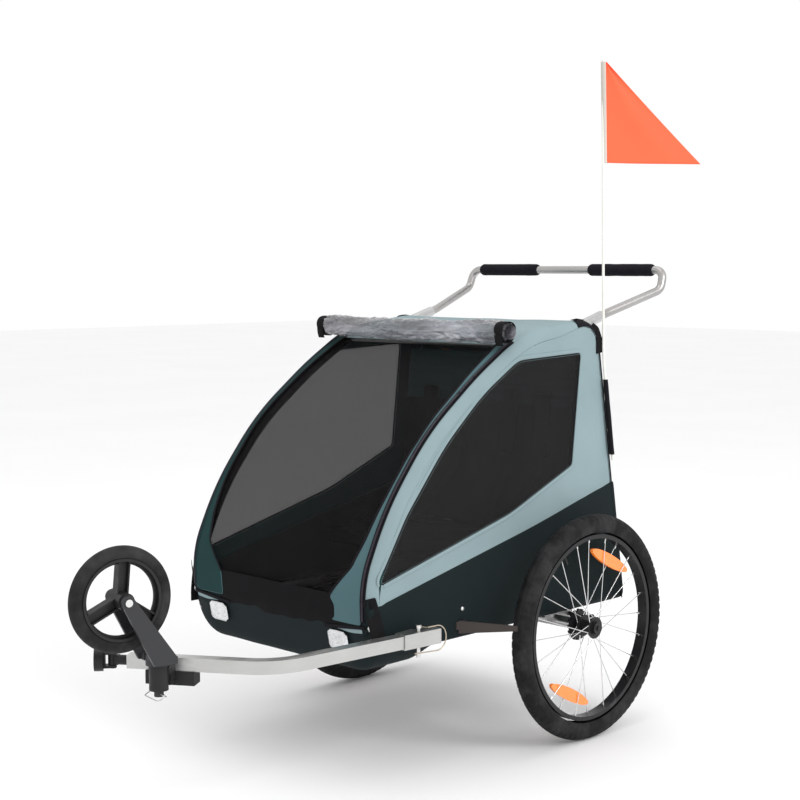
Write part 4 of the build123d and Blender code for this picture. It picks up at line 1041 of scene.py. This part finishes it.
def roll():
    """The rain cover rolled up over the front, its ends' inner layers, and the strap round each end."""
    y0, z0 = ROLL_AT
    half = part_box("rain_cover_roll")[1][0] / MM
    bm = bmesh.new()

    def place(u, v):
        x = mix(-half - 3, half + 3, v)
        turn = 2 * pi * u
        waist = 1 - 0.22 * (smooth(1 - abs(abs(x) - ROLL_STRAP_X) / 16))
        deep = noise.noise(Vector((x / 55, cos(turn) * 1.6, sin(turn) * 1.6)))
        folds = noise.turbulence(Vector((x / 26, cos(turn) * 2.3, sin(turn) * 2.3)), 3, True)
        radius = (23.5 + 4.6 * deep - 4.5 * folds + 1.5) * waist
        ridge = 1.8 * abs(sin(3 * turn + x / 40 + 3 * deep)) * waist
        end = smooth((abs(x) - half + 8) / 12)
        radius = (radius + ridge) * (1 - 0.3 * end)
        sag = 3.0 * (1 - (x / half) ** 2)
        return at(x, y0 + radius * cos(turn) * 1.04, z0 - sag + radius * sin(turn) * 0.95)

    grid(bm, place, 72, 300, size=(0.16, 0.6))
    merge(bm, SEAM_GAP)
    roll_piece = piece("rolled_rain_cover", bm, "front_frame", CLEAR, replaces=["rain_cover_roll"])
    cloth(roll_piece, 600, 80)
    layers = bmesh.new()
    for side in (1, -1):
        for turn_in, (reach, radius) in enumerate(((6, 19), (2, 14), (7, 9.5), (4, 5))):
            def place_end(u, v):
                turn = 2 * pi * u
                wobble = 1 + 0.12 * noise.noise(Vector((cos(turn), sin(turn), turn_in * 3 + side)))
                x = side * (half - 26 + (26 + reach * 0.6) * v)
                return at(x, y0 + radius * wobble * cos(turn), z0 - 1 + radius * wobble * sin(turn) * 0.9)
            grid(layers, place_end, 36, 6, size=(0.1, 0.03))
    merge(layers, SEAM_GAP)
    cloth(piece("rolled_cover_inner_layers", layers, "front_frame", CLEAR), 120, 380)
    straps = bmesh.new()
    for side in (1, -1):
        loop = []
        for i in range(33):
            turn = 2 * pi * i / 32 + pi / 2
            squeeze = 22.5 + 1.2 * sin(3 * turn)
            loop.append(at(side * ROLL_STRAP_X, y0 + squeeze * cos(turn) * 1.05, z0 - 1 + squeeze * sin(turn)))
        strap_band(straps, loop, (1, 0, 0), 22, 2.0)
        tail = [at(side * (ROLL_STRAP_X + out), y0 - ahead, z0 - drop)
                for out, ahead, drop in ((0, 23, 8), (0.5, 21, 20), (1, 17, 30))]
        strap_band(straps, tail, (1, 0, 0), 20, 1.8)
    close(straps)
    strap_piece = piece("cover_roll_straps", straps, "front_frame", WEBBING,
                        replaces=["roll_straps"])
    cloth(strap_piece, 48, 230)


# ---- seat and harness ----------------------------------------------------------------------------
HARNESS_X, HARNESS_SPREAD = 128, 48         # middle of each seat, and its shoulder straps from that
BACK_LEAN, HEAD_SPLIT = 0.11, 722.0         # the back's lean, and where its teal head part starts


def seat():
    """Two cushions, the back with its quilted head part, a tab on it, and both harnesses."""
    low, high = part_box("seat_base")
    half, front, rear = high[0] / MM, (low[1] - AXLE_Y) / MM, (high[1] - AXLE_Y) / MM
    bottom, top = low[2] / MM, high[2] / MM
    bm = bmesh.new()
    for side in (1, -1):
        made = bmesh.ops.create_cube(bm, size=1.0)["verts"]
        for v in made:
            v.co = at(side * (half / 2 + v.co.x * (half - 3)), mix(front, rear, v.co.y + 0.5),
                      mix(bottom + 4, top - 6, v.co.z + 0.5))
    bmesh.ops.bevel(bm, geom=bm.edges[:], offset=9 * MM, segments=3, affect="EDGES", profile=0.5, material=-1)
    bmesh.ops.subdivide_edges(bm, edges=[e for e in bm.edges if e.calc_length() > 0.03], cuts=11, use_grid_fill=True)
    for v in bm.verts:
        x, y = abs(v.co.x) / MM, (v.co.y - AXLE_Y) / MM
        u, t = (x - half / 2) / (half / 2), (y - (front + rear) / 2) / ((rear - front) / 2)
        crown = max(1 - u ** 4, 0) * max(1 - t ** 4, 0)
        channel = 3.0 * max(0, 1 - abs(t - 0.25) / 0.05) + 3.0 * max(0, 1 - abs(t + 0.3) / 0.05)
        if v.co.z > (bottom + top) / 2 * MM:
            v.co.z += (6.0 * crown - channel + 1.2 * noise.noise(Vector((v.co.x * 14, v.co.y * 12, 2)))) * MM
        else:
            v.co.z -= 3.0 * crown * MM
    cushions = piece("seat_cushions", bm, "chassis", SEAT_CLOTH, level=1, replaces=["seat_base"])
    low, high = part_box("seat_back")
    foot_z, top_z = low[2] / MM + 1, high[2] / MM
    foot_y = (low[1] - AXLE_Y) / MM
    width = high[0] / MM

    def back_at(x, z, sink=0.0):
        return at(x, foot_y + (z - foot_z) * BACK_LEAN + sink, z)

    panel = bmesh.new()

    def place(u, v):
        x = mix(-width + 2, width - 2, u)
        z = mix(foot_z + 1, top_z - 2, v)
        sag = 7.0 * sin(pi * v) * sin(pi * abs(2 * u - 1)) ** 0.6
        quilt = -2.6 * abs(sin((z - HEAD_SPLIT) / 21.0 * pi)) ** 0.7 if z > HEAD_SPLIT else 0.0
        return back_at(x, z, 8.0 + sag * 0.6 + quilt - 4.0)

    grid(panel, place, 60, 110, size=(0.52, 0.41))
    for face in panel.faces:
        face.material_index = 0 if face.calc_center_median().z / MM < HEAD_SPLIT else 1
    back = piece("seat_back_cloth", panel, "chassis", [SEAT_CLOTH, HEAD_CLOTH], fold=True,
                 replaces=["seat_back"])
    wall = back.modifiers.new("wall", "SOLIDIFY")
    wall.thickness, wall.offset = 6 * MM, -1.0
    cloth(back, 540, 430)
    label = bmesh.new()
    grid(label, lambda u, v: back_at(mix(-158, -128, u), mix(826, 842, v), 0.5), 3, 3, size=(0.03, 0.016))
    cloth(piece("seat_label_tab", label, "chassis", RED_TAB, thick=1.0, fold=True), 30, 17)
    straps, pads = bmesh.new(), bmesh.new()
    for centre in (-HARNESS_X, HARNESS_X):
        for side in (-1, 1):
            x = centre + side * HARNESS_SPREAD
            line = [back_at(x, 752, -2.0), back_at(x + side, 640, -3.0), back_at(x, 560, -4.0),
                    at(mix(x, centre, 0.25), -18, 500), at(mix(x, centre, 0.7), -52, 452),
                    at(centre + side * 12, -70, 440)]
            strap_band(straps, line, (1, 0, 0), 24, 1.8)
            side_line = [at(centre + side * 92, 20, 434), at(centre + side * 60, -30, 436),
                         at(centre + side * 24, -62, 439)]
            strap_band(straps, side_line, (0.4 * side, 1, 0), 24, 1.8)
            pad_line = [back_at(x, z, -6.0) for z in (752, 700, 650, 608)]
            strap_band(pads, pad_line, (1, 0, 0), 46, 7)
        crotch = [at(centre, -128, 431.5), at(centre, -110, 436), at(centre, -88, 438.5)]
        strap_band(straps, crotch, (1, 0, 0), 24, 1.8)
    close(straps)
    webbing_piece = piece("harness_webbing", straps, "chassis", WEBBING, fold=True, replaces=["harness"])
    cloth(webbing_piece, 48 * 2, 1500)
    close(pads)
    piece("harness_shoulder_pads", pads, "chassis", SEAT_CLOTH, fold=True)


# ---- flag, sleeve and grips ----------------------------------------------------------------------
def flag():
    """The pennant and the pale hem that slides over the pole."""
    low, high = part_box("flag")
    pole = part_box("flag_pole")
    x0 = (pole[0][0] + pole[1][0]) / 2
    run = Vector((high[0] - x0, high[1] - low[1] - 0.0005, 0))
    turn, length = atan2(run.y, run.x), run.length - 0.006
    bm = bmesh.new()
    z0, z1 = low[2] + 0.002, high[2] - 0.002

    def place(u, v):
        """v goes up the pole, and the cloth is longest along its foot."""
        z = mix(z0, z1, v)
        reach = length * (1 - v * 0.985) * u + 0.0045
        ripple = 0.006 * sin(u * 7.5 + v * 2.0) * u
        pole_y = mix(low[1] + 0.006, pole[0][1] + 0.0045, v)
        return Vector((x0 + reach * cos(turn) - ripple * sin(turn), pole_y + reach * sin(turn) + ripple * cos(turn),
                       z + 0.004 * u * u * (1 - v)))

    grid(bm, place, 44, 40, size=(length, 0.226))
    flag_piece = piece("pennant_cloth", bm, "flag_staff", FLAG_CLOTH, thick=0.5, replaces=["flag"])
    cloth(flag_piece, 262, 226)
    hem = bmesh.new()

    def place_hem(u, v):
        z = mix(z0, z1, v)
        pole_y = mix(low[1] + 0.006, pole[0][1] + 0.0045, v)
        a = 2 * pi * u
        return Vector((x0 + 0.0052 * cos(a) * (1.3 if cos(a) > 0 else 1), pole_y - 0.001 + 0.0050 * sin(a), z))

    grid(hem, place_hem, 14, 30, size=(0.03, 0.226))
    merge(hem, SEAM_GAP)
    cloth(piece("pennant_hem", hem, "flag_staff", HEM_CLOTH), 30, 226)


def flag_sleeve():
    """A pocket of binding tape on the rear corner that holds the pole's foot."""
    low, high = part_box("flag_sleeve")
    x0 = (low[0] + high[0]) / 2
    bm = bmesh.new()

    def place(u, v):
        a = 2 * pi * u
        z = mix(low[2] + 0.002, high[2] - 0.002, v)
        y = mix(high[1] - 0.0065, low[1] + 0.0065, v)
        crease = 0.0005 * noise.noise(Vector((cos(a) * 2, sin(a) * 2, z * 60)))
        return Vector((x0 + (0.0055 + crease) * cos(a), y + (0.0062 + crease) * sin(a), z))

    grid(bm, place, 16, 34, size=(0.035, 0.18))
    merge(bm, SEAM_GAP)
    sleeve = piece("flag_sleeve_cloth", bm, "rear_frame", BINDING, replaces=["flag_sleeve"])
    cloth(sleeve, 36, 178)


GRIP_IN = 82.0


def grips():
    """Foam grips with rounded, slightly uneven ends that close down onto the tube."""
    low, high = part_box("handle_grips")
    y, z = (low[1] + high[1]) / 2, (low[2] + high[2]) / 2
    inner, outer, radius = GRIP_IN, high[0] / MM, (high[2] - low[2]) / 2 / MM
    bm = bmesh.new()
    for side in (1, -1):
        def place(u, v):
            x = mix(inner, outer, v)
            edge = min(x - inner, outer - x)
            turn = 2 * pi * u
            dents = 0.5 * noise.noise(Vector((x / 25, cos(turn), side)))
            r = radius - 3.2 * (1 - smooth(edge / 5)) - 0.35 + dents
            return Vector((side * x * MM, y + r * cos(turn) * MM, z + r * sin(turn) * MM))
        grid(bm, place, 40, 60, size=(0.094, 0.189))
    merge(bm, SEAM_GAP)
    for side in (1, -1):
        for edge_x in (inner, outer):
            ring = [v for v in bm.verts if abs(abs(v.co.x) - edge_x * MM) < 1e-6 and v.co.x * side > 0]
            edges = {e for v in ring for e in v.link_edges if e.is_boundary}
            extruded = bmesh.ops.extrude_edge_only(bm, edges=list(edges))["geom"]
            for v in (g for g in extruded if isinstance(g, bmesh.types.BMVert)):
                v.co.y, v.co.z = y + (v.co.y - y) * 0.83, z + (v.co.z - z) * 0.83
    piece("foam_grips", bm, "handlebar", FOAM, replaces=["handle_grips"])


# ---- wheels --------------------------------------------------------------------------------------
TYRE_SECTION, TREAD, BEAD_TURN, BEAD_DEPTH = 23.0, 1.5, 2.45, 17.0
LUGS, PER_LUG = 84, 8


def road_tyres():
    """Road tyres with two centre ribs, rows of slanting blocks and fine rings on the sidewalls."""
    middle_r = TYRE_R - TYRE_SECTION
    for side, wheel in ((1, "left"), (-1, "right")):
        bm = bmesh.new()

        def place(u, v):
            """u runs across the casing from bead to bead, v round the wheel."""
            a = mix(-BEAD_TURN, BEAD_TURN, u)
            lean = abs(a)
            step = (v * LUGS) % 1.0 + (0.5 if a > 0 else 0.0)
            if lean < 0.20:
                tread = TREAD
            elif lean < 0.30:
                tread = 0.4
            elif lean < 0.62:
                tread = TREAD if (step + lean * 0.5) % 1.0 < 0.72 else 0.35
            elif lean < 1.05:
                tread = 1.35 if (step + lean * 0.25) % 1.0 < 0.6 else 0.1
            else:
                tread = 0.45 if 1.30 < lean < 1.36 or 1.95 < lean < 2.0 else 0.0
            r = TYRE_SECTION - TREAD + tread
            turn = 2 * pi * v
            x = WHEEL_X + r * sin(a) * 0.985
            reach = max(middle_r + r * cos(a), middle_r - BEAD_DEPTH)
            return at(side * x, reach * cos(turn), AXLE_Z + reach * sin(turn))

        grid(bm, place, 56, LUGS * PER_LUG, size=(0.11, 1.57))
        merge(bm, 0.00005)
        piece("road_tyre_" + wheel, bm, wheel + "_wheel", TYRE, replaces=["tyre_" + wheel])


VALVE_TURN, VALVE_FOOT_R = radians(118), 198.5
VALVE_OUTLINE = [(0, -30), (2.2, -29.5), (2.6, -27), (2.6, -8), (3.4, -7.5), (3.4, -3), (3.0, 0)]


def valves():
    """A capped tyre valve through each rim, pointing to the hub."""
    out = Vector((0, cos(VALVE_TURN), sin(VALVE_TURN)))
    for side, wheel in ((1, "left"), (-1, "right")):
        bm = bmesh.new()
        foot = at(side * WHEEL_X, 0, AXLE_Z) + out * VALVE_FOOT_R * MM
        lathe(bm, VALVE_OUTLINE, foot, out, Vector((side, 0, 0)), 14)
        piece("valve_" + wheel, bm, wheel + "_wheel", BUCKLE)


# ---- small trim ----------------------------------------------------------------------------------
def rear_strap():
    """A strap over the left rear top corner, from the roof down onto the rear panel."""
    straps = bmesh.new()
    high_s, low_s = CORNER_AT + 8, CORNER_AT + 66
    line = [skin(high_s - 60, HALF - 22, sink=-4), skin(high_s - 20, HALF - 12, sink=-4.5),
            skin(high_s, HALF - 6, sink=-5), skin(mix(high_s, low_s, 0.5), HALF + 4, sink=-4.5),
            skin(low_s, HALF + 8, sink=-4)]
    strap_band(straps, line, (0.3, 1, 0.2), 18, 1.6)
    close(straps)
    cloth(piece("rear_corner_strap", straps, "chassis", WEBBING, fold=True), 36, 160)


def stitches():
    """A row of stitches round each window, outside its tape."""
    points, away = 160, 7.5
    for side, name in ((1, "left"), (-1, "right")):
        loop = []
        for i in range(points):
            along = WINDOW_LOOP.length * i / (points - 1)
            y, z = WINDOW_LOOP.point(along)
            ahead = WINDOW_LOOP.heading(along, 5)
            loop.append(side_at(side, y + ahead.y * away, z - ahead.x * away, sink=-1.6))
        seam("window_stitches_" + name, loop, Vector((side, 0, 0)), CLOTH)


# ---- camera, light and floor ---------------------------------------------------------------------
CAMERA_AT, CAMERA_DOWN, CAMERA_TURN = (2456.48, -2698.80, 1042.22), 4.891, 44.803
LENS_MM, SENSOR_MM = 70.16, 36.0


def camera():
    """The main view: from the front left, a little above the trailer."""
    data = bpy.data.cameras.new("view")
    data.lens, data.sensor_width = LENS_MM, SENSOR_MM
    data.clip_start, data.clip_end = 0.05, 60
    obj = bpy.data.objects.new("view", data)
    obj.location = at(*CAMERA_AT)
    obj.rotation_euler = (radians(90 - CAMERA_DOWN), 0, radians(CAMERA_TURN))
    bpy.context.scene.collection.objects.link(obj)
    bpy.context.scene.camera = obj


def lamp(name, place, target, width, height, power):
    """A white rectangular lamp, in metres and watts, turned to a target."""
    data = bpy.data.lights.new(name, "AREA")
    data.shape, data.size, data.size_y, data.energy = "RECTANGLE", width, height, power
    obj = bpy.data.objects.new(name, data)
    obj.location = place
    obj.rotation_euler = (Vector(target) - Vector(place)).to_track_quat("-Z", "Y").to_euler()
    bpy.context.scene.collection.objects.link(obj)


def studio():
    """An even white room with a strong lamp at the left and a pale floor."""
    world = bpy.data.worlds.new("studio")
    bpy.context.scene.world = world
    world.use_nodes = True
    world.node_tree.nodes["Background"].inputs["Color"].default_value = (1, 1, 1, 1)
    world.node_tree.nodes["Background"].inputs["Strength"].default_value = 1.0
    bpy.context.scene.view_settings.view_transform = "Standard"
    lamp("key", (4.2, 0.4, 3.0), (0, 0, 0.5), 2.0, 2.0, 85)
    lamp("front", (0.4, -4.4, 2.2), (0, 0, 0.5), 2.6, 1.8, 8)
    lamp("top", (-0.4, 0.3, 4.6), (0, 0, 0.4), 3.0, 3.0, 25)
    mesh = bpy.data.meshes.new("floor")
    bm = bmesh.new()
    bmesh.ops.create_grid(bm, x_segments=1, y_segments=1, size=20.0)
    bm.to_mesh(mesh)
    bm.free()
    floor = bpy.data.objects.new("floor", mesh)
    bpy.context.scene.collection.objects.link(floor)
    f = Finish("pale_floor", (0.93, 0.93, 0.935), 0.75)
    f.blotches(1.2, 0.01)
    mesh.materials.append(f.material)


camera()
studio()
finish_kept_nodes()
front_net()
front_corner_cloth()
zipper()
hem_tape()
side_panel()
windows()
roof_and_rear()
tub()
patches()
hoop_sleeves()
roll()
seat()
flag()
flag_sleeve()
grips()
road_tyres()
valves()
rear_strap()
stitches()
